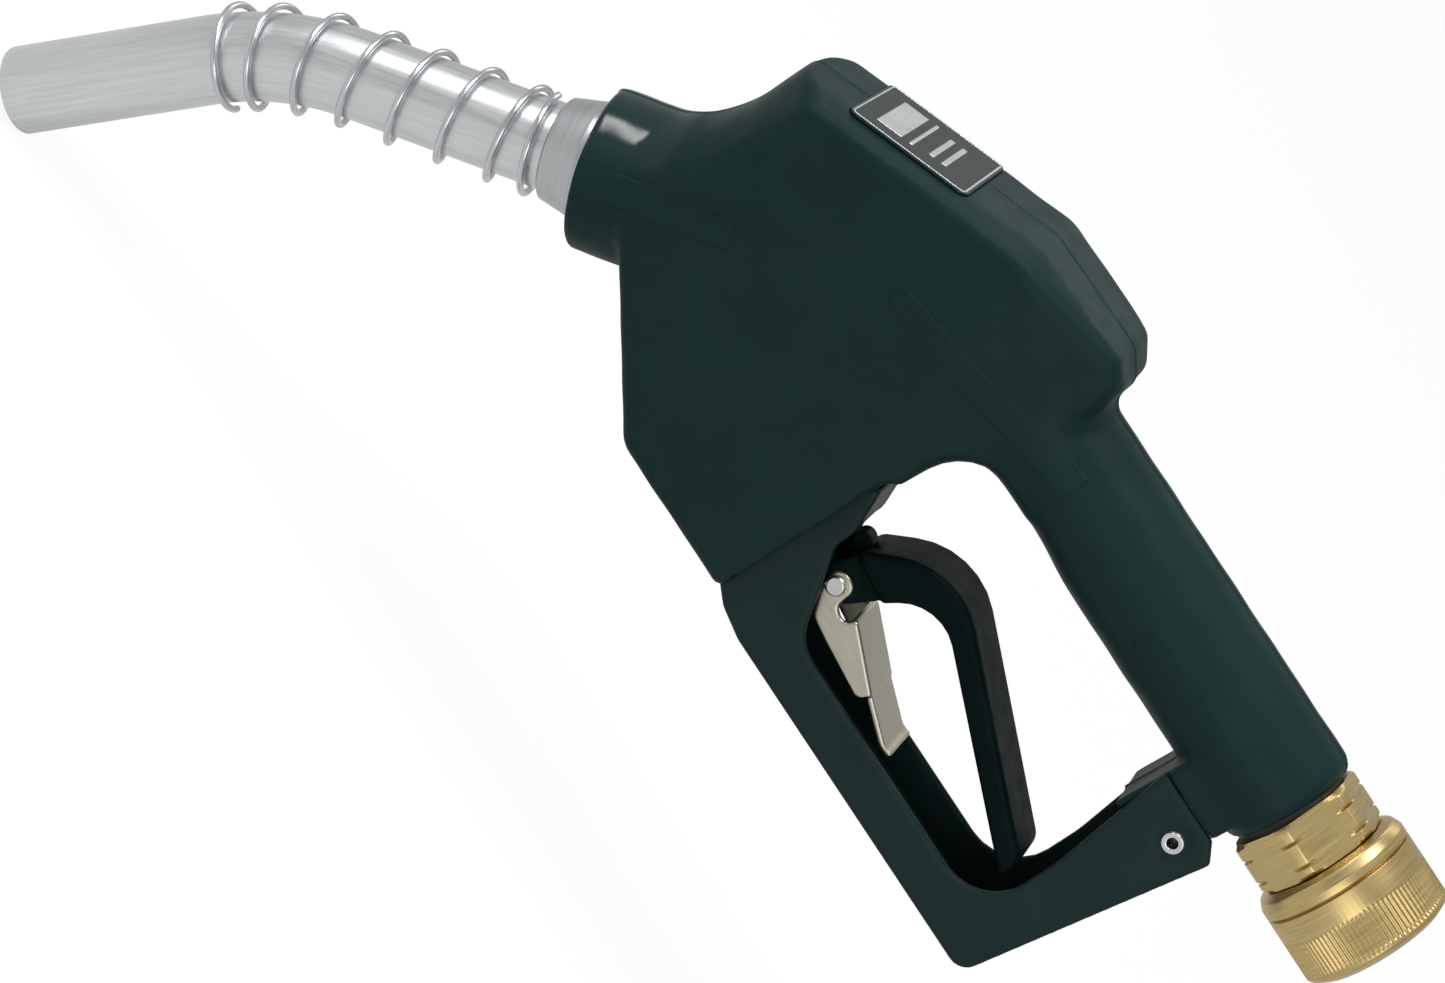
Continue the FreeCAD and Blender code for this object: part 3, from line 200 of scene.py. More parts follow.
def spun(name, outline, path, finish, body, stands_for=(), around=96, reshape=None):
    """Turns a closed outline of (along, radius) round a path, and stores its grain."""
    rings = len(outline)
    vertices = []
    grain = []
    for along, radius in outline:
        centre, up, side = path(along)
        for step in range(around):
            angle = 2 * math.pi * step / around
            r = radius if reshape is None else reshape(along, radius, angle)
            out = up * math.cos(angle) + side * math.sin(angle)
            vertices.append(centre + out * max(r, 0.0))
            grain.append((along * MM, r * math.cos(angle) * MM, r * math.sin(angle) * MM))
    faces = []
    for ring in range(rings):
        after = (ring + 1) % rings
        if outline[ring][1] < 1e-6 and outline[after][1] < 1e-6:
            continue
        for step in range(around):
            beside = (step + 1) % around
            faces.append((ring * around + step, after * around + step,
                          after * around + beside, ring * around + beside))
    piece = new_piece(name, vertices, faces, finish, body, stands_for)
    store = piece.data.attributes.new("grain", "FLOAT_VECTOR", "POINT")
    store.data.foreach_set("vector", np.array(grain, np.float32).ravel())
    tidy_mesh(piece)
    keep_edges_crisp(piece)
    return piece


def tidy_mesh(piece):
    """Merges points that lie on an axis and turns every face outwards."""
    work = bmesh.new()
    work.from_mesh(piece.data)
    bmesh.ops.remove_doubles(work, verts=work.verts, dist=1e-7)
    bmesh.ops.dissolve_degenerate(work, edges=work.edges, dist=1e-8)
    bmesh.ops.recalc_face_normals(work, faces=work.faces)
    work.to_mesh(piece.data)
    work.free()


# ---------------------------------------------------------------- distance fields

def grid(low, high, step):
    """The three axes of a block of samples, shaped so that they broadcast."""
    axes = [np.arange(low[i], high[i] + step, step, dtype=np.float32) for i in range(3)]
    return axes[0][:, None, None], axes[1][None, :, None], axes[2][None, None, :]


def polygon_field(across, up, outline):
    """Signed distance to a closed outline, negative inside."""
    shape = np.broadcast(across, up).shape
    nearest = np.full(shape, 1e9, np.float32)
    inside = np.zeros(shape, bool)
    for (ax, ay), (bx, by) in zip(outline, outline[1:] + outline[:1]):
        ex, ey = bx - ax, by - ay
        length = ex * ex + ey * ey
        if length < 1e-9:
            continue
        wx, wy = across - ax, up - ay
        share = np.clip((wx * ex + wy * ey) / length, 0, 1)
        nearest = np.minimum(nearest, (wx - ex * share) ** 2 + (wy - ey * share) ** 2)
        spans = (ay <= up) != (by <= up)
        left = (ex * wy > ey * wx) == (by > ay)
        inside ^= spans & left
    return np.where(inside, -1.0, 1.0).astype(np.float32) * np.sqrt(nearest)


def both(a, b, radius=0.0):
    """Where both fields are solid, with the edge between them rounded."""
    if radius <= 0:
        return np.maximum(a, b)
    outside = np.hypot(np.maximum(a + radius, 0), np.maximum(b + radius, 0))
    return np.minimum(-radius, np.maximum(a, b)) + outside


def either(a, b, radius=0.0):
    """Where either field is solid, with a fillet of the radius between them."""
    return -both(-a, -b, radius)


def without(a, b, radius=0.0):
    """The first field with the second taken out of it."""
    return both(a, -b, radius)


def soft_step(value, low, high):
    """Zero below low, one above high, smooth between them."""
    share = np.clip((value - low) / (high - low), 0, 1)
    return share * share * (3 - 2 * share)


CUBE = [(i, j, k) for i in (0, 1) for j in (0, 1) for k in (0, 1)]
CUBE_EDGES = [(a, b) for a in range(8) for b in range(a + 1, 8)
              if sum(abs(CUBE[a][i] - CUBE[b][i]) for i in range(3)) == 1]


def meshed(field, axes):
    """Surface net: one point in each cell that the surface crosses, joined by quads."""
    field = np.ascontiguousarray(np.broadcast_to(
        field, (axes[0].size, axes[1].size, axes[2].size)), np.float32)
    solid = field < 0
    nx, ny, nz = (size - 1 for size in field.shape)
    total = np.zeros((nx, ny, nz), np.int8)
    for i, j, k in CUBE:
        total += solid[i:nx + i, j:ny + j, k:nz + k]
    active = (total > 0) & (total < 8)
    cells = np.argwhere(active)
    number = np.full((nx, ny, nz), -1, np.int64)
    number[active] = np.arange(len(cells))
    corner = np.stack([field[cells[:, 0] + i, cells[:, 1] + j, cells[:, 2] + k]
                       for i, j, k in CUBE], axis=1)
    place = np.zeros((len(cells), 3))
    count = np.zeros(len(cells))
    for a, b in CUBE_EDGES:
        va, vb = corner[:, a], corner[:, b]
        crossed = (va < 0) != (vb < 0)
        share = np.where(crossed, va / np.where(crossed, va - vb, 1), 0)[:, None]
        spot = np.array(CUBE[a]) * (1 - share) + np.array(CUBE[b]) * share
        place += np.where(crossed[:, None], spot, 0)
        count += crossed
    place = cells + place / count[:, None]
    start = np.array([axis.ravel()[0] for axis in axes])
    step = float(axes[0].ravel()[1] - axes[0].ravel()[0])
    faces = []
    for way in range(3):
        one, two = (way + 1) % 3, (way + 2) % 3
        here = [slice(1, -1)] * 3
        here[way] = slice(0, -1)
        there = list(here)
        there[way] = slice(1, None)
        first, second = solid[tuple(here)], solid[tuple(there)]
        for flag, order in ((first & ~second, (0, 1, 2, 3)), (~first & second, (3, 2, 1, 0))):
            spots = np.argwhere(flag)
            for axis in (one, two):
                spots[:, axis] += 1
            quad = []
            for d_one, d_two in ((1, 1), (0, 1), (0, 0), (1, 0)):
                cell = spots.copy()
                cell[:, one] -= d_one
                cell[:, two] -= d_two
                quad.append(number[cell[:, 0], cell[:, 1], cell[:, 2]])
            faces.append(np.stack([quad[i] for i in order], axis=1))
    return start + place * step, np.concatenate(faces)


def moulded(name, field, axes, finish, body, stands_for=()):
    """A piece from a distance field."""
    vertices, faces = meshed(field, axes)
    mesh = bpy.data.meshes.new(name)
    mesh.vertices.add(len(vertices))
    mesh.vertices.foreach_set("co", (vertices * MM).astype(np.float32).ravel())
    mesh.loops.add(faces.size)
    mesh.loops.foreach_set("vertex_index", faces.astype(np.int32).ravel())
    mesh.polygons.add(len(faces))
    mesh.polygons.foreach_set("loop_start", np.arange(0, faces.size, 4, dtype=np.int32))
    mesh.update(calc_edges=True)
    mesh.validate()
    piece = bpy.data.objects.new(name, mesh)
    bpy.context.scene.collection.objects.link(piece)
    mesh.materials.append(finish)
    mesh.shade_smooth()
    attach(piece, body)
    if stands_for:
        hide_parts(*stands_for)
    return piece


# ---------------------------------------------------------------- finishes

class Finish:
    """A procedural material, built a step at a time."""

    def __init__(self, name, roughness, metallic=0.0, grain=False):
        self.material = bpy.data.materials.new(name)
        self.material.use_nodes = True
        self.tree = self.material.node_tree
        self.shader = self.tree.nodes["Principled BSDF"]
        self.shader.inputs["Metallic"].default_value = metallic
        self.shader.inputs["Roughness"].default_value = roughness
        if grain:
            source = self.tree.nodes.new("ShaderNodeAttribute")
            source.attribute_name = "grain"
            self.coords = source.outputs["Vector"]
        else:
            self.coords = self.tree.nodes.new("ShaderNodeTexCoord").outputs["Object"]

    def link(self, output, target):
        self.tree.links.new(output, target)

    def noise(self, per_mm, stretch=(1, 1, 1), detail=3.0, rough=0.5):
        """Noise with so many features a millimetre, stretched along the axes."""
        mapping = self.tree.nodes.new("ShaderNodeMapping")
        mapping.inputs["Scale"].default_value = [per_mm / MM * part for part in stretch]
        self.link(self.coords, mapping.inputs["Vector"])
        noise = self.tree.nodes.new("ShaderNodeTexNoise")
        noise.inputs["Scale"].default_value = 1.0
        noise.inputs["Detail"].default_value = detail
        noise.inputs["Roughness"].default_value = rough
        self.link(mapping.outputs["Vector"], noise.inputs["Vector"])
        return noise.outputs["Fac"]

    def spread(self, value, low, high, start=0.3, end=0.7):
        """Maps the usual range of a noise onto low to high."""
        node = self.tree.nodes.new("ShaderNodeMapRange")
        node.inputs["From Min"].default_value = start
        node.inputs["From Max"].default_value = end
        node.inputs["To Min"].default_value = low
        node.inputs["To Max"].default_value = high
        self.link(value, node.inputs["Value"])
        return node.outputs["Result"]

    def band(self, way, low_mm, high_mm, soft_mm):
        """One where a point's reach along a direction lies between two limits."""
        reach = self.tree.nodes.new("ShaderNodeVectorMath")
        reach.operation = "DOT_PRODUCT"
        reach.inputs[1].default_value = way
        self.link(self.coords, reach.inputs[0])
        ends = []
        for limit, sign in ((low_mm, 1), (high_mm, -1)):
            start, end = sorted((limit * MM, (limit + sign * soft_mm) * MM))
            first, last = (0, 1) if sign > 0 else (1, 0)
            ends.append(self.spread(reach.outputs["Value"], first, last, start, end))
        return self.times(*ends)

    def times(self, one, two):
        node = self.tree.nodes.new("ShaderNodeMath")
        node.operation = "MULTIPLY"
        self.link(one, node.inputs[0])
        self.link(two, node.inputs[1])
        return node.outputs["Value"]

    def colour(self, value, dark, light):
        node = self.tree.nodes.new("ShaderNodeMix")
        node.data_type = "RGBA"
        node.inputs["A"].default_value = (*dark, 1)
        node.inputs["B"].default_value = (*light, 1)
        self.link(value, node.inputs["Factor"])
        self.link(node.outputs["Result"], self.shader.inputs["Base Color"])
        return self

    def rough(self, value, low, high):
        self.link(self.spread(value, low, high), self.shader.inputs["Roughness"])
        return self

    def bump(self, value, depth_mm, strength=1.0):
        """Adds relief of the given depth on top of any relief that is there."""
        node = self.tree.nodes.new("ShaderNodeBump")
        node.inputs["Distance"].default_value = depth_mm * MM
        node.inputs["Strength"].default_value = strength
        self.link(value, node.inputs["Height"])
        normal = self.shader.inputs["Normal"]
        if normal.is_linked:
            self.link(normal.links[0].from_socket, node.inputs["Normal"])
        self.link(node.outputs["Normal"], normal)
        return self


def nose_top(finish):
    """The part of the nose that hands have polished: its upper side."""
    start = NOSE.dot(SPOUT_WAY)
    level = NOSE.dot(SPOUT_UP)
    along = finish.band(SPOUT_WAY, start - 27, start + 4, 7)
    above = finish.band(SPOUT_UP, level + 6, level + 40, 6)
    return finish.times(along, above)


def vinyl():
    """The cover's finish: a grained dark green that shines where hands polish it."""
    finish = Finish("vinyl", 0.42)
    broad = finish.noise(0.03, detail=4)
    fine = finish.noise(2.2, detail=4, rough=0.65)
    finish.colour(finish.spread(broad, 0, 1), (0.0038, 0.0225, 0.0215), (0.0056, 0.0270, 0.0258))
    polished = nose_top(finish)
    rough = finish.spread(finish.noise(0.15, detail=6), 0.44, 0.54)
    mix = finish.tree.nodes.new("ShaderNodeMix")
    finish.link(polished, mix.inputs["Factor"])
    finish.link(rough, mix.inputs["A"])
    mix.inputs["B"].default_value = 0.13
    finish.link(mix.outputs["Result"], finish.shader.inputs["Roughness"])
    finish.bump(fine, 0.035, 0.6)
    finish.bump(finish.noise(0.09, detail=2), 0.10, 0.5)
    finish.link(finish.spread(polished, 0.14, 0.40, 0, 1),
                finish.shader.inputs["Specular IOR Level"])
    return finish.material


def black_paint(name, dark, light, low, high, grain_mm, shine=0.20):
    """Painted or moulded black: cloudy tone and a fine grain."""
    finish = Finish(name, low)
    finish.colour(finish.spread(finish.noise(0.05, detail=5), 0, 1), dark, light)
    finish.rough(finish.noise(0.2, detail=5), low, high)
    finish.bump(finish.noise(grain_mm, detail=3, rough=0.6), 0.03, 0.6)
    finish.shader.inputs["Specular IOR Level"].default_value = shine
    return finish.material


def metal(name, dark, light, low, high, stretch=(1, 1, 1), per_mm=1.0, grain=False, depth=0.004):
    """Bare metal: tone, roughness and fine relief all follow one stretched noise."""
    finish = Finish(name, low, metallic=1.0, grain=grain)
    streak = finish.noise(per_mm, stretch, detail=5, rough=0.6)
    finish.colour(finish.spread(streak, 0, 1), dark, light)
    cloud = finish.noise(0.08, detail=4)
    mix = finish.tree.nodes.new("ShaderNodeMath")
    mix.operation = "ADD"
    finish.link(finish.spread(streak, low, high), mix.inputs[0])
    finish.link(finish.spread(cloud, -0.04, 0.05), mix.inputs[1])
    finish.link(mix.outputs["Value"], finish.shader.inputs["Roughness"])
    finish.bump(streak, depth)
    return finish.material


def plastic(name, dark, light, low, high):
    """Smooth plastic or rubber."""
    finish = Finish(name, low)
    finish.colour(finish.spread(finish.noise(0.1, detail=4), 0, 1), dark, light)
    finish.rough(finish.noise(0.5, detail=4), low, high)
    finish.bump(finish.noise(3.0, detail=2), 0.01, 0.4)
    return finish.material


TURNED = (1.0, 0.02, 0.02)
DRAWN = (0.05, 1.0, 1.0)
VINYL = vinyl()
GUARD_BLACK = black_paint("guard_black", (0.0042, 0.0195, 0.0185), (0.0056, 0.0235, 0.0225),
                          0.44, 0.56, 1.6)
LEVER_BLACK = black_paint("lever_black", (0.0010, 0.0055, 0.0055), (0.0020, 0.0080, 0.0080),
                          0.40, 0.52, 1.8, 0.05)
BRASS_TURNED = metal("brass_turned", (0.48, 0.35, 0.135), (0.68, 0.53, 0.26), 0.28, 0.40,
                     TURNED, 4.0, True, 0.0025)
BRASS_PLAIN = metal("brass_plain", (0.56, 0.41, 0.18), (0.72, 0.55, 0.28), 0.28, 0.40)
SPOUT_METAL = metal("spout_metal", (0.64, 0.67, 0.67), (0.78, 0.80, 0.81), 0.30, 0.44,
                    DRAWN, 1.0, True, 0.002)
COLLAR_METAL = metal("collar_metal", (0.46, 0.48, 0.49), (0.58, 0.60, 0.61), 0.34, 0.46,
                     TURNED, 3.0, True, 0.003)
WIRE = metal("spring_wire", (0.50, 0.51, 0.53), (0.74, 0.75, 0.77), 0.18, 0.30,
             DRAWN, 2.0, True, 0.003)
CLIP_STEEL = metal("clip_steel", (0.44, 0.42, 0.34), (0.58, 0.56, 0.45), 0.26, 0.38,
                   (0.05, 1.0, 1.0), 2.0)
PIN_STEEL = metal("pin_steel", (0.55, 0.55, 0.56), (0.75, 0.75, 0.76), 0.20, 0.32,
                  TURNED, 3.0, True)
PLAIN_STEEL = metal("plain_steel", (0.45, 0.45, 0.46), (0.62, 0.62, 0.63), 0.25, 0.38)
CAST = metal("cast_aluminium", (0.36, 0.37, 0.38), (0.50, 0.51, 0.52), 0.45, 0.60,
             (1, 1, 1), 1.2, False, 0.04)
RUBBER = plastic("seal_rubber", (0.010, 0.010, 0.011), (0.022, 0.022, 0.023), 0.5, 0.65)
ACETAL = plastic("white_acetal", (0.70, 0.70, 0.67), (0.82, 0.82, 0.79), 0.35, 0.5)
LABEL_SILVER = metal("label_silver", (0.55, 0.57, 0.58), (0.66, 0.68, 0.69), 0.35, 0.45)
PLATE_BLACK = black_paint("plate_black", (0.0040, 0.0160, 0.0150), (0.0060, 0.0200, 0.0190),
                          0.30, 0.40, 2.4, 0.25)


# ---------------------------------------------------------------- cover

HEAD_TOP = [(-283, 4.4, 4), (-231, 24.6, 30), (-207.5, 33.4, 18), (-172, 34.2, 6),
            (-164.5, 29.5, 5), (-162.5, 12, 0), (-150, 12, 0)]
HEAD_ARCH = [(-150, -12.2, 0), (-173.8, -12.2, 15), (-175.3, -35.5, 2), (-178, -39, 1)]
HEAD_FLOOR = [(-178, -97, 3), (-225, -97, 10), (-266, -68, 10), (-283, -56, 8)]
HEAD_PLAN = ([(-283.2 + 12.6 * (across / 30) ** 2.5, across, 0) for across in range(0, 28, 3)] +
             [(-271, 31.2, 2), (-203, 31.2, 45), (-168, 20, 20), (-155, 13, 6), (-140, 12, 0),
              (-140, -10, 0), (-283.2, -10, 0)])


def half_width(z):
    """The head's sides lean in towards its floor."""
    return HEAD_HALF - HEAD_LEAN * (HEAD_WIDE_AT - z)


def along_spout(x, z):
    """Distance down the spout's axis from the nose, and above it."""
    dx, dz = x - NOSE.x, z - NOSE.z
    return dx * SPOUT_WAY.x + dz * SPOUT_WAY.z, dx * SPOUT_UP.x + dz * SPOUT_UP.z


def head_field(x, y, z):
    """The head: side view, leaning sides and plan, with a crowned top."""
    profile_line = rounded(HEAD_TOP + HEAD_ARCH + HEAD_FLOOR)
    profile = np.empty((x.size, y.size, z.size), np.float32)
    for index, across in enumerate(y.ravel()):
        crown = HEAD_CROWN * soft_step(abs(across), 18.0, 30.5) * soft_step(z[:, 0, :], -30, 0)
        profile[:, index, :] = polygon_field(x[:, 0, :], z[:, 0, :] + crown, profile_line)
    lean = (np.abs(y) - half_width(z)) * math.cos(math.atan(HEAD_LEAN))
    plan = polygon_field(x[:, :, 0], np.abs(y[:, :, 0]), rounded(HEAD_PLAN))[:, :, None]
    soft = both(both(profile, lean, 4.0), plan, 4.4)
    crisp = both(both(profile, lean, 3.0), plan, 2.5)
    return crisp + (soft - crisp) * soft_step(z, -52, -20) * soft_step(x, -268, -235)


def nose_pad(x, y, z):
    """Outline of the pad along the nose."""
    down, above = along_spout(x, z)
    return both(np.abs(down + 30.5) - 18.5, np.abs(above - 0.9) - 4.4, 1.2)


def head_pad(x, y, z):
    """Outline of the long pad on the head, a little wider towards the grip."""
    along = x + 219.5
    tall = np.abs(z + 4.0 - 0.112 * along) - 3.4 - 0.022 * along
    return both(np.abs(x + 184.5) - 35.0, tall, 1.2)


def grip_pad(x, y, z):
    """Outline of the pad on the grip."""
    return both(np.abs(x + 77.4) - 29.0, np.abs(z + 1.9) - 4.8, 1.2)


def plate_room(x, y, z, grow=0.0):
    """The recess that the plate on top lies in."""
    low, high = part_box("label_plate")
    centre = (low + high) / 2 / MM
    slope = math.radians(PLATE_SLOPE)
    dx, dz = x - centre.x, z - centre.z
    along = dx * math.cos(slope) + dz * math.sin(slope)
    above = dz * math.cos(slope) - dx * math.sin(slope)
    flat = both(np.abs(along) - PLATE_HALF_LONG - grow, np.abs(y) - PLATE_HALF_WIDE - grow,
                3.0 + grow)
    return both(flat, -above - 0.55), along, above


def cover_field(x, y, z):
    """Head, nose, grip and skirt in one skin, with its mould line and its openings."""
    down, above = along_spout(x, z)
    spout_r = np.hypot(above, y)
    nose_r = np.hypot(above + NOSE_DROP, y)
    thinner = 0.9 + 0.1 * soft_step(x, -150, -122)
    low = z - GRIP_RISE
    grip_r = np.hypot(y, np.where(low < 0, low / thinner, low))
    body = head_field(x, y, z)
    nose = both(nose_r - NOSE_RADIUS, np.maximum(down + 1.5, -60 - down), 1.6)
    flush = either(body, nose, 2.5)
    body = flush + (either(body, nose, 14.0) - flush) * soft_step(above, 2, 14)
    grip = both(grip_r - GRIP_RADIUS, np.maximum(x + 45.0, -172 - x), 4.0)
    body = either(body, grip, 5.0)
    skirt = both(np.abs(x + 60.5) - 10.7, np.abs(y) - 16.2, 2.0)
    skirt = both(skirt, np.maximum(-18.9 - z, z + 6), 1.0)
    body = either(body, skirt, 2.0)
    front = both(np.abs(x + 70.4) - 1.1, np.abs(y) - 13.9)
    body = either(body, both(front, np.maximum(-36.5 - z, z + 10)), 0.5)
    seam = 0.40 * (1 - soft_step(np.abs(y), 0.35, 1.1))
    wave = np.sin(x * 0.31 + z * 0.12) * np.sin(z * 0.27 - x * 0.08 + 1.3)
    body = body - seam - 0.10 * wave
    body = without(body, both(spout_r - 19.7, -9 - down), 0.5)
    body = without(body, both(np.hypot(y, z) - 16.5, -49.5 - x), 0.5)
    tuck = both(np.abs(y) - half_width(z) + COVER_WALL, np.maximum(-94.7 - z, z + 43.0), 3.0)
    body = without(body, both(tuck, -190.0 - x), 0.5)
    return without(body, plate_room(x, y, z, 0.25)[0], 0.3)


def body_cover():
    """The vinyl cover."""
    axes = grid((-312, -34, -100), (-42, 34, 37.5), 0.7)
    return moulded("cover_skin", cover_field(*axes), axes, VINYL, "root", ["body_cover"])


def raised_pads():
    """Low flat pads on both sides, where a mark could be moulded."""
    places = [("nose_pad", nose_pad, (-294, 16, -66), (-249, 34, -26)),
              ("head_pad", head_pad, (-221, 12, -10), (-148, 36, 11)),
              ("grip_pad", grip_pad, (-108, 14, -9), (-46, 22, 5))]
    for name, outline, low, high in places:
        for side, word in ((-1, "near"), (1, "far")):
            near, far = sorted((side * low[1], side * high[1]))
            axes = grid((low[0], near, low[2]), (high[0], far, high[2]), 0.4)
            skin = cover_field(*axes)
            field = both(both(skin - 0.30, outline(*axes), 0.2), -skin - 0.9)
            moulded(name + "_" + word, field, axes, VINYL, "root")


# ---------------------------------------------------------------- plate

def label_plate():
    """The plate on top: a border and plain bars where lettering would be."""
    low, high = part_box("label_plate")
    margin = 2
    axes = grid([c / MM - margin for c in low], [c / MM + margin for c in high], 0.35)
    x, y, z = axes
    room, along, above = plate_room(x, y, z)
    plate = both(room, above - 0.45, 0.2)
    moulded("label_face", plate, axes, PLATE_BLACK, "root", ["label_plate"])
    rim = both(np.abs(along) - 18.2, np.abs(y) - 21.4, 1.5)
    marks = np.abs(rim) - 0.40
    for spot, half, across in ((-8.5, 4.2, 15.0), (-1.5, 0.7, 15.0), (4.5, 1.0, 12.0),
                               (8.5, 1.0, 12.0)):
        marks = np.minimum(marks, both(np.abs(along - spot) - half, np.abs(y) - across, 0.3))
    raised = both(marks, np.maximum(above - 0.60, 0.1 - above), 0.05)
    moulded("label_marks", raised, axes, LABEL_SILVER, "root")


# ---------------------------------------------------------------- guard

GUARD_OUT = [(-195, -90.5, 0), (-179.6, -90.5, 0), (-179.6, -96.2, 0.8), (-173.0, -99.6, 9),
             (-163, -101.5, 12), (-52.5, -101.5, 5.5), (-44.2, -23.5, 1.5), (-49.5, -19.2, 1),
             (-72, -19.2, 1.5), (-65.5, -60, 40), (-64.2, -87, 15), (-153, -87, 14),
             (-170.5, -62, 6), (-170.6, -56, 6), (-176.2, -43, 1), (-195, -46.5, 0)]
GUARD_IN = [(-200, -120, 0), (-175.5, -120, 0), (-175.5, -95.2, 1.5), (-172, -97.4, 8),
            (-165, -98.9, 8), (-54.8, -98.9, 4), (-47.4, -34, 0), (-30, -34, 0), (-30, 0, 0),
            (-200, 0, 0)]
GUARD_WEB = [(-176.2, -43.2, 0.5), (-170.9, -55.5, 0.5), (-173.0, -56.2, 0.5), (-178, -44, 0.5)]


def lever_guard():
    """The guard: an open channel with a web at its front and a dished rivet hole."""
    axes = grid((-197, -19, -104), (-41, 19, -17), 0.6)
    x, y, z = axes
    side_x, side_z = x[:, 0, :], z[:, 0, :]
    outer = polygon_field(side_x, side_z, rounded(GUARD_OUT))[:, None, :]
    inner = polygon_field(side_x, side_z, rounded(GUARD_IN))[:, None, :]
    web = polygon_field(side_x, side_z, rounded(GUARD_WEB))[:, None, :]
    shell = both(outer, np.abs(y) - 16.5, 1.3)
    shell = without(shell, both(inner, np.abs(y) - 14.0, 1.0), 0.5)
    shell = either(shell, both(web, np.abs(y) - 14.5), 0.6)
    rivet = middle("guard_rivet")
    hole = np.hypot(x - rivet.x, z - rivet.z) - 2.6
    shell = without(shell, hole, 0.3)
    dish = both(np.hypot(x - rivet.x, z - rivet.z) - 5.2, 16.1 - np.abs(y))
    shell = without(shell, dish, 0.4)
    return moulded("guard_shell", shell, axes, GUARD_BLACK, "root", ["lever_guard"])


def across_path(centre):
    """For pieces turned about a line parallel to Y."""
    return straight(Vector((centre[0], 0, centre[2])), Vector((0, 1, 0)), Vector((0, 0, 1)))


def guard_rivet():
    """A tubular rivet with a rolled head on each side."""
    head = 17.3
    outline = rounded([(-head, 1.6, 0.3), (-head, 3.0, 0.3), (-16.5, 3.4, 0.1), (-16.1, 3.4, 0.1),
                       (-16.1, 2.55, 0), (16.1, 2.55, 0), (16.1, 3.4, 0.1), (16.5, 3.4, 0.1),
                       (head, 3.0, 0.3), (head, 1.6, 0.3)], 4)
    spun("rivet_tube", outline, across_path(middle("guard_rivet")), PIN_STEEL, "root",
         ["guard_rivet"], 48)


# ---------------------------------------------------------------- lever, pin and clip

LEVER_BLADE = [(-166.2, -60.2, 2), (-147.4, -36.7, 24), (-69.7, -70.1, 5), (-68.2, -78.4, 1.5),
               (-141.7, -47.4, 14), (-150.0, -62.2, 1)]
LEVER_EARS = [(-164.4, -58.4, 2), (-152, -58, 1), (-151, -63, 4), (-155.6, -73, 4),
              (-166.4, -73, 5), (-166.6, -67, 6)]


def lever():
    """The lever: a bowed blade, two ears round the clip, and the lobe that lifts the rod."""
    axes = grid((-174, -13, -80), (-66, 13, -40), 0.5)
    x, y, z = axes
    side_x, side_z = x[:, 0, :], z[:, 0, :]
    blade = polygon_field(side_x, side_z, rounded(LEVER_BLADE))[:, None, :]
    blade = both(blade, np.abs(y) - 11.8, 2.0)
    ears = polygon_field(side_x, side_z, rounded(LEVER_EARS))[:, None, :]
    ears = both(ears, np.abs(y) - 9.8, 0.8)
    pin_r = np.hypot(x - PIN.x, z - PIN.z)
    eye = both(pin_r - 5.6, np.abs(y) - 9.8, 0.8)
    field = either(either(blade, ears, 1.5), eye, 1.0)
    slot = both(np.abs(y) - 4.1, np.maximum(z + 58.5 + 0.3 * (x + 158), x + 150.5), 0.3)
    field = without(field, slot, 0.4)
    lobe_r = np.hypot(x + 167.0, z + 60.0) - 3.0
    arm = polygon_field(side_x, side_z, [(-164, -56), (-157, -56), (-158.5, -61.5), (-166, -62.8)])
    lobe = both(either(lobe_r, arm[:, None, :], 1.0), np.abs(y) - 3.6, 0.4)
    field = either(field, lobe)
    field = without(field, pin_r - 1.95, 0.3)
    return moulded("lever_grip", field, axes, LEVER_BLACK, "lever", ["lever"])


def lever_pin():
    """The pin of lever and clip, with a head at each end."""
    outline = rounded([(-13.2, 0, 0), (-13.2, 2.4, 0.5), (-12.5, 3.0, 0.3), (-11.6, 3.0, 0.2),
                       (-11.6, 1.9, 0), (11.6, 1.9, 0), (11.6, 3.0, 0.2), (12.5, 3.0, 0.3),
                       (13.2, 2.4, 0.5), (13.2, 0, 0)], 4)
    spun("pivot_pin", outline, across_path(PIN), PIN_STEEL, "trip", ["lever_pin"], 48)


CLIP_CHEEK = [(-165.3, -67.5, 3), (-162.6, -75, 3), (-157.5, -81, 4), (-150, -82, 4),
              (-131.6, -84, 2.5), (-129.6, -79.6, 0.8), (-149.6, -70.7, 1), (-151.2, -75, 2.5),
              (-156, -73.2, 2.5), (-156.9, -66.6, 3), (-161, -65.3, 4)]
CLIP_ROOM = [(-175, -100, 0), (-120, -100, 0), (-120, -85.9, 0), (-130.6, -81.2, 0),
             (-151.6, -71.9, 0), (-151.6, -50, 0), (-175, -50, 0)]
CLIP_TONGUE = [(-150, -70.9, 0.3), (-131, -79.3, 12), (-116, -84.9, 5), (-112.8, -84.2, 0.6),
               (-113.4, -86.2, 0.6), (-117, -86.5, 5), (-131.6, -80.9, 12), (-150.6, -72.3, 0.3)]


def hold_open_clip():
    """The clip: a pressed channel with a curved tongue."""
    axes = grid((-168, -13, -90), (-111, 13, -62), 0.4)
    x, y, z = axes
    side_x, side_z = x[:, 0, :], z[:, 0, :]
    cheek = polygon_field(side_x, side_z, rounded(CLIP_CHEEK))[:, None, :]
    room = polygon_field(side_x, side_z, rounded(CLIP_ROOM))[:, None, :]
    tongue = polygon_field(side_x, side_z, rounded(CLIP_TONGUE))[:, None, :]
    field = both(cheek, np.abs(y) - 11.5, 0.9)
    field = without(field, both(room, np.abs(y) - 10.0, 0.7), 0.25)
    field = either(field, both(tongue, np.abs(y) - 10.5, 0.3), 0.4)
    field = without(field, np.hypot(x - PIN.x, z - PIN.z) - 1.95, 0.15)
    return moulded("clip_plate", field, axes, CLIP_STEEL, "clip", ["hold_open_clip"])


# ---------------------------------------------------------------- spout

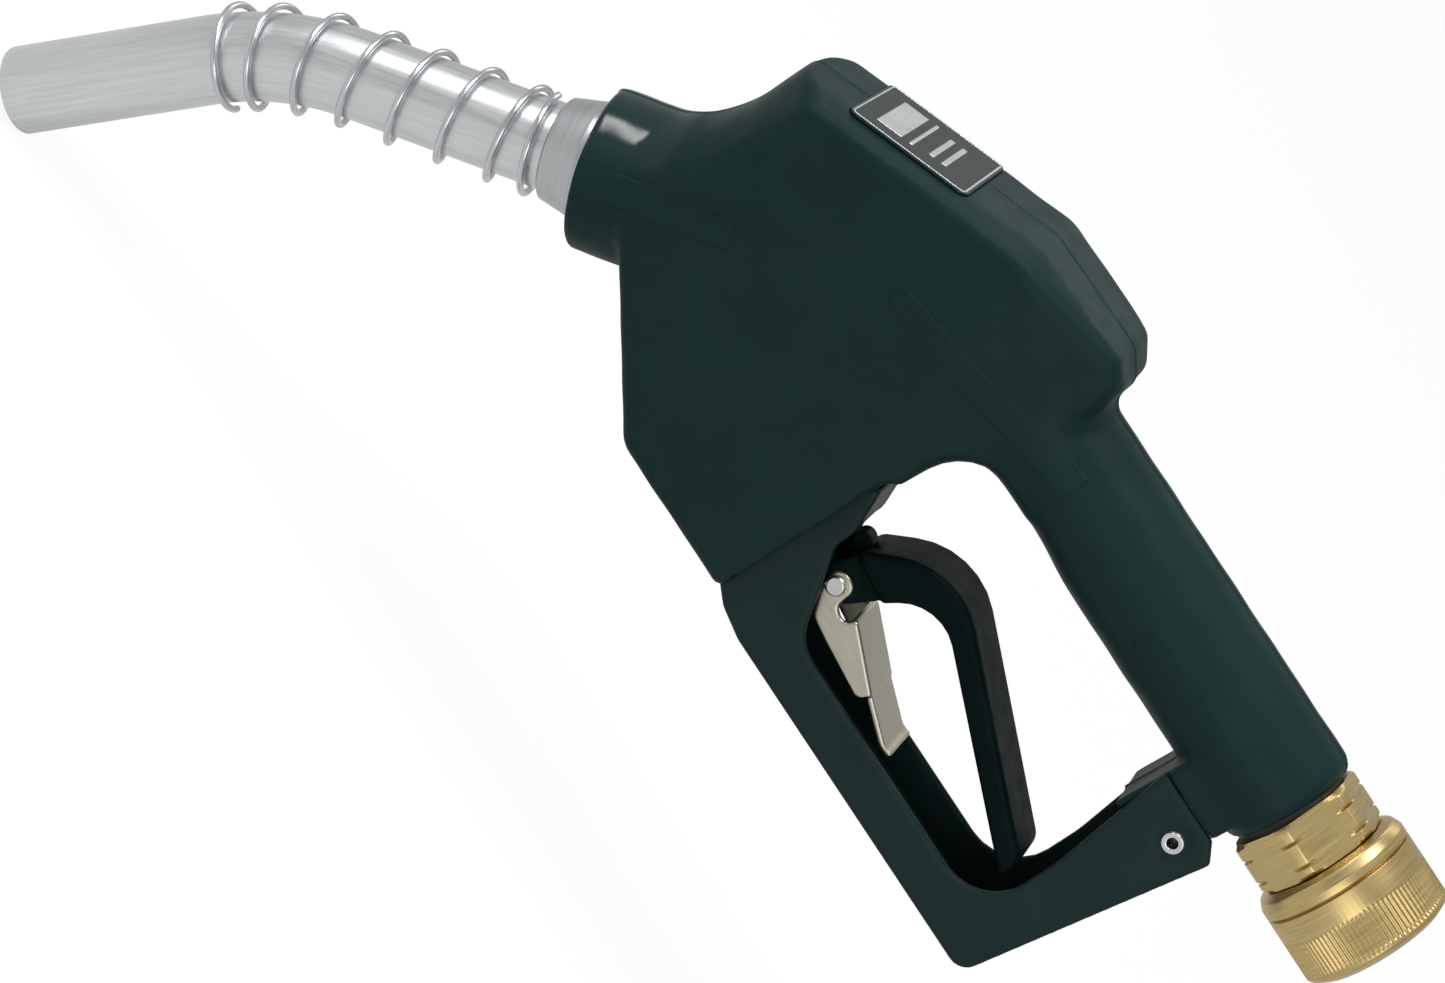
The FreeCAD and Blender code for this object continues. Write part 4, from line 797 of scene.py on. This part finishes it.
def spout_tube():
    """The bent pipe, with a rounded rim."""
    half_turn = [(SPOUT_END - 1.0 + math.sin(a), TUBE_RADIUS - 1.0 + math.cos(a))
                 for a in np.linspace(0, math.pi, 9)]
    outer = [(along, TUBE_RADIUS) for along in np.arange(-14, SPOUT_END - 1.5, 1.5)]
    inner = [(along, TUBE_RADIUS - 2.0) for along in np.arange(SPOUT_END - 1.5, -14, -3.0)]
    spun("spout_pipe", outer + half_turn + inner, spout_path, SPOUT_METAL, "root",
         ["spout_tube"], 96)


def spout_collar():
    """The turned collar between nose and spout."""
    outline = rounded([(-15.8, 12.52, 0), (-15.8, 15.0, 0.4), (-3.3, 15.0, 0), (-3.3, 16.9, 0.3),
                       (0.8, 16.9, 0.8), (10.6, 14.7, 0.8), (11.2, 13.6, 0.4), (11.2, 12.52, 0)])
    way = straight(NOSE, SPOUT_WAY, SPOUT_UP)
    spun("collar_ring", outline, way, COLLAR_METAL, "root", ["spout_collar"], 96)


COIL_TURN = [0.0, 0.5, 1.0, 1.5, 6.0, 6.5, 7.0, 7.5]
COIL_ALONG = [14.6, 15.6, 20.0, 27.5, 95.5, 102.5, 107.0, 111.0]


def coil_point(turn):
    """The wire's centre: over the top at each whole turn, then down the near side."""
    along = float(np.mean(np.interp(turn + np.linspace(-0.2, 0.2, 9), COIL_TURN, COIL_ALONG)))
    centre, up, side = spout_path(along)
    bent = min(max((along - BEND_IN) / (BEND_RADIUS * BEND_TURN), 0.0), 1.0)
    angle = 2 * math.pi * turn
    spot = centre + up * (COIL_RADIUS * math.cos(angle) - 0.3 + 0.4 * bent)
    return spot - side * (COIL_RADIUS * math.sin(angle)), centre


def spout_spring():
    """A wire wound round the spout, with its end coils drawn together."""
    turns, wire, sides = 7.5, 1.0, 14
    steps = int(turns * 40)
    line = [coil_point(turns * step / steps)[0] for step in range(steps + 1)]
    vertices, grain = [], []
    for index, spot in enumerate(line):
        ahead = (line[min(index + 1, steps)] - line[max(index - 1, 0)]).normalized()
        centre = coil_point(turns * index / steps)[1]
        out = (spot - centre).normalized()
        out = (out - ahead * out.dot(ahead)).normalized()
        over = ahead.cross(out)
        for number in range(sides):
            angle = 2 * math.pi * number / sides
            vertices.append(spot + (out * math.cos(angle) + over * math.sin(angle)) * wire)
            grain.append((index * 0.6 * MM, math.cos(angle) * MM, math.sin(angle) * MM))
    faces = []
    for index in range(steps):
        for number in range(sides):
            beside = (number + 1) % sides
            faces.append((index * sides + number, index * sides + beside,
                          (index + 1) * sides + beside, (index + 1) * sides + number))
    faces.append(tuple(reversed(range(sides))))
    faces.append(tuple(range(steps * sides, (steps + 1) * sides)))
    piece = new_piece("spring_wire_coil", vertices, faces, WIRE, "root", ["spout_spring"])
    store = piece.data.attributes.new("grain", "FLOAT_VECTOR", "POINT")
    store.data.foreach_set("vector", np.array(grain, np.float32).ravel())
    keep_edges_crisp(piece, 50)


# ---------------------------------------------------------------- swivel

INLET = straight(Vector((0, 0, 0)), Vector((1, 0, 0)), Vector((0, 0, 1)))


def flutes(along, radius, angle):
    """Fine straight flutes round the ring's wide band."""
    if radius < 22.0 or not -14.6 < along < -3.0:
        return radius
    edge = min(1.0, (along + 14.6) / 0.8, (-3.0 - along) / 0.8)
    return radius - 0.42 * edge * (0.5 - 0.5 * math.cos(angle * 96))


def swivel_ring():
    """The ring that takes the hose: a plain shoulder, a groove and a fluted band."""
    band = [(along, 22.25, 0) for along in np.arange(-15.0, -2.2, 0.5)]
    outline = rounded([(-28.3, 13.56, 0.3), (-28.3, 18.8, 1.0), (-27.3, 21.0, 1.6),
                       (-24.6, 22.2, 1.5), (-22.3, 22.25, 0.1), (-21.8, 20.9, 0.1),
                       (-21.3, 22.25, 0.1)] + band +
                      [(-1.6, 21.6, 1.4), (0, 18.6, 1.5), (0, 15.15, 0.6), (-16.0, 15.15, 0),
                       (-16.0, 10.0, 0), (-17.2, 10.0, 0), (-17.2, 13.56, 0)], 5)
    spun("swivel_nut", outline, INLET, BRASS_TURNED, "swivel", ["swivel_ring"], 768, flutes)


def hexagon(along, radius, angle):
    """Flats with corners turned off, wherever the radius reaches past the flats."""
    flat = 17.4 / math.cos((angle + math.pi / 6) % (math.pi / 3) - math.pi / 6)
    return min(radius, flat)


def inlet_nipple():
    """The nipple, with its hexagon and the grooves turned into it."""
    outline = rounded([(-62, 10.0, 0), (-62, 13.2, 0.5), (-44, 13.2, 0), (-44, 17.9, 0.3),
                       (-42.6, 19.35, 0.6), (-39.5, 19.35, 0.1), (-39.0, 18.0, 0.1),
                       (-38.5, 19.35, 0.1), (-32.6, 19.35, 0.1), (-32.1, 18.0, 0.1),
                       (-31.6, 19.35, 0.1), (-29.8, 19.35, 0.6), (-28.6, 17.9, 0.3),
                       (-28.6, 13.5, 0), (-17.5, 13.5, 0), (-17.5, 10.0, 0)], 4)
    spun("nipple_hex", outline, INLET, BRASS_TURNED, "root", ["inlet_nipple"], 360, hexagon)


# ---------------------------------------------------------------- finishes of the CAD pieces

CAD_FINISH = {
    "body_casting": CAST, "guard_screws": PLAIN_STEEL, "nipple_gasket": RUBBER,
    "inlet_strainer": PLAIN_STEEL, "swivel_balls": PLAIN_STEEL, "swivel_seals": RUBBER,
    "valve_seat_ring": BRASS_PLAIN, "main_poppet": CAST, "poppet_seal": RUBBER,
    "push_rod": PLAIN_STEEL, "main_valve_spring": PLAIN_STEEL, "stem_gland": BRASS_PLAIN,
    "gland_seals": RUBBER, "chamber_cap": CAST, "chamber_cap_oring": RUBBER,
    "trip_plunger": PLAIN_STEEL, "trip_spring": PLAIN_STEEL, "trip_retainer": PLAIN_STEEL,
    "latch_pin": PLAIN_STEEL, "diaphragm": RUBBER, "diaphragm_spring": PLAIN_STEEL,
    "diaphragm_cap": CAST, "diaphragm_cap_screws": PLAIN_STEEL, "spout_oring": RUBBER,
    "collar_set_screw": PLAIN_STEEL, "sensor_tube": PLAIN_STEEL, "sensor_fitting": PLAIN_STEEL,
    "check_valve_seat": BRASS_PLAIN, "check_valve_poppet": ACETAL, "check_valve_guide": ACETAL,
    "check_valve_spring": PLAIN_STEEL,
}


def finish_cad_pieces():
    """Gives the CAD pieces that stay their finishes."""
    for name, finish in CAD_FINISH.items():
        mesh = nodes[name].data
        mesh.materials.clear()
        mesh.materials.append(finish)


# ---------------------------------------------------------------- studio

def camera():
    """Fitted to the nozzle's straight edges: a long lens, rolled so that the grip climbs."""
    right = Vector((0.5525, 0.2923, 0.7806))
    up = Vector((-0.8326, 0.2372, 0.5005))
    back = Vector((-0.0389, -0.9265, 0.3744))
    data = bpy.data.cameras.new("camera")
    data.sensor_width = 36.0
    data.lens = 101.9
    data.clip_start = 0.01
    seat = bpy.data.objects.new("camera", data)
    turn = Matrix((right, up, back)).transposed().to_4x4()
    seat.matrix_world = Matrix.Translation(Vector((-0.2427, -1.0467, 0.3357))) @ turn
    bpy.context.scene.collection.objects.link(seat)
    bpy.context.scene.camera = seat


def area_light(name, place, target, size, power, colour=(1, 1, 1)):
    data = bpy.data.lights.new(name, "AREA")
    data.shape = "RECTANGLE"
    data.size, data.size_y = size
    data.energy = power
    data.color = colour
    lamp = bpy.data.objects.new(name, data)
    lamp.location = place
    aim = Vector(target) - Vector(place)
    lamp.rotation_euler = aim.to_track_quat("-Z", "Y").to_euler()
    bpy.context.scene.collection.objects.link(lamp)


def seamless_white():
    """A matt floor that the camera sees as overexposed paper."""
    finish = Finish("floor_white", 0.9)
    finish.colour(finish.noise(0.002), (0.46, 0.46, 0.46), (0.50, 0.50, 0.50))
    nodes_of = finish.tree.nodes
    glow = nodes_of.new("ShaderNodeEmission")
    glow.inputs["Strength"].default_value = 1.14
    seen = nodes_of.new("ShaderNodeLightPath")
    mirrored = nodes_of.new("ShaderNodeMath")
    mirrored.operation = "MULTIPLY"
    mirrored.inputs[1].default_value = 0.35
    finish.link(seen.outputs["Is Glossy Ray"], mirrored.inputs[0])
    share = nodes_of.new("ShaderNodeMath")
    share.operation = "MULTIPLY_ADD"
    share.inputs[1].default_value = 0.80
    finish.link(seen.outputs["Is Camera Ray"], share.inputs[0])
    finish.link(mirrored.outputs["Value"], share.inputs[2])
    mix = nodes_of.new("ShaderNodeMixShader")
    finish.link(share.outputs["Value"], mix.inputs["Fac"])
    finish.link(finish.shader.outputs["BSDF"], mix.inputs[1])
    finish.link(glow.outputs["Emission"], mix.inputs[2])
    finish.link(mix.outputs["Shader"], nodes_of["Material Output"].inputs["Surface"])
    return finish.material


def studio():
    """Floor, even white surroundings and four soft lamps."""
    low = cad_box[0]
    reach = 6.0
    mesh = bpy.data.meshes.new("floor")
    mesh.from_pydata([(-reach, -reach, low[2]), (reach, -reach, low[2]), (reach, reach, low[2]),
                      (-reach, reach, low[2])], [], [(0, 1, 2, 3)])
    floor = bpy.data.objects.new("floor", mesh)
    bpy.context.scene.collection.objects.link(floor)
    mesh.materials.append(seamless_white())
    world = bpy.data.worlds.new("studio")
    world.use_nodes = True
    world.node_tree.nodes["Background"].inputs["Color"].default_value = (1, 1, 1, 1)
    world.node_tree.nodes["Background"].inputs["Strength"].default_value = 0.5
    bpy.context.scene.world = world
    centre = (-0.2, 0, -0.06)
    area_light("key", (-0.45, -0.25, 1.1), centre, (0.7, 0.35), 7)
    area_light("front", (0.5, -1.3, 0.2), centre, (0.8, 0.8), 4)
    area_light("rim", (-0.5, 0.9, 0.7), centre, (0.9, 0.3), 1.5)
    area_light("window", (-1.22, -0.27, 0.67), (-0.29, -0.016, -0.043), (0.50, 0.13), 3)
    bpy.context.scene.view_settings.view_transform = "Standard"


finish_cad_pieces()
body_cover()
raised_pads()
label_plate()
lever_guard()
guard_rivet()
lever()
lever_pin()
hold_open_clip()
spout_tube()
spout_collar()
spout_spring()
swivel_ring()
inlet_nipple()
camera()
studio()
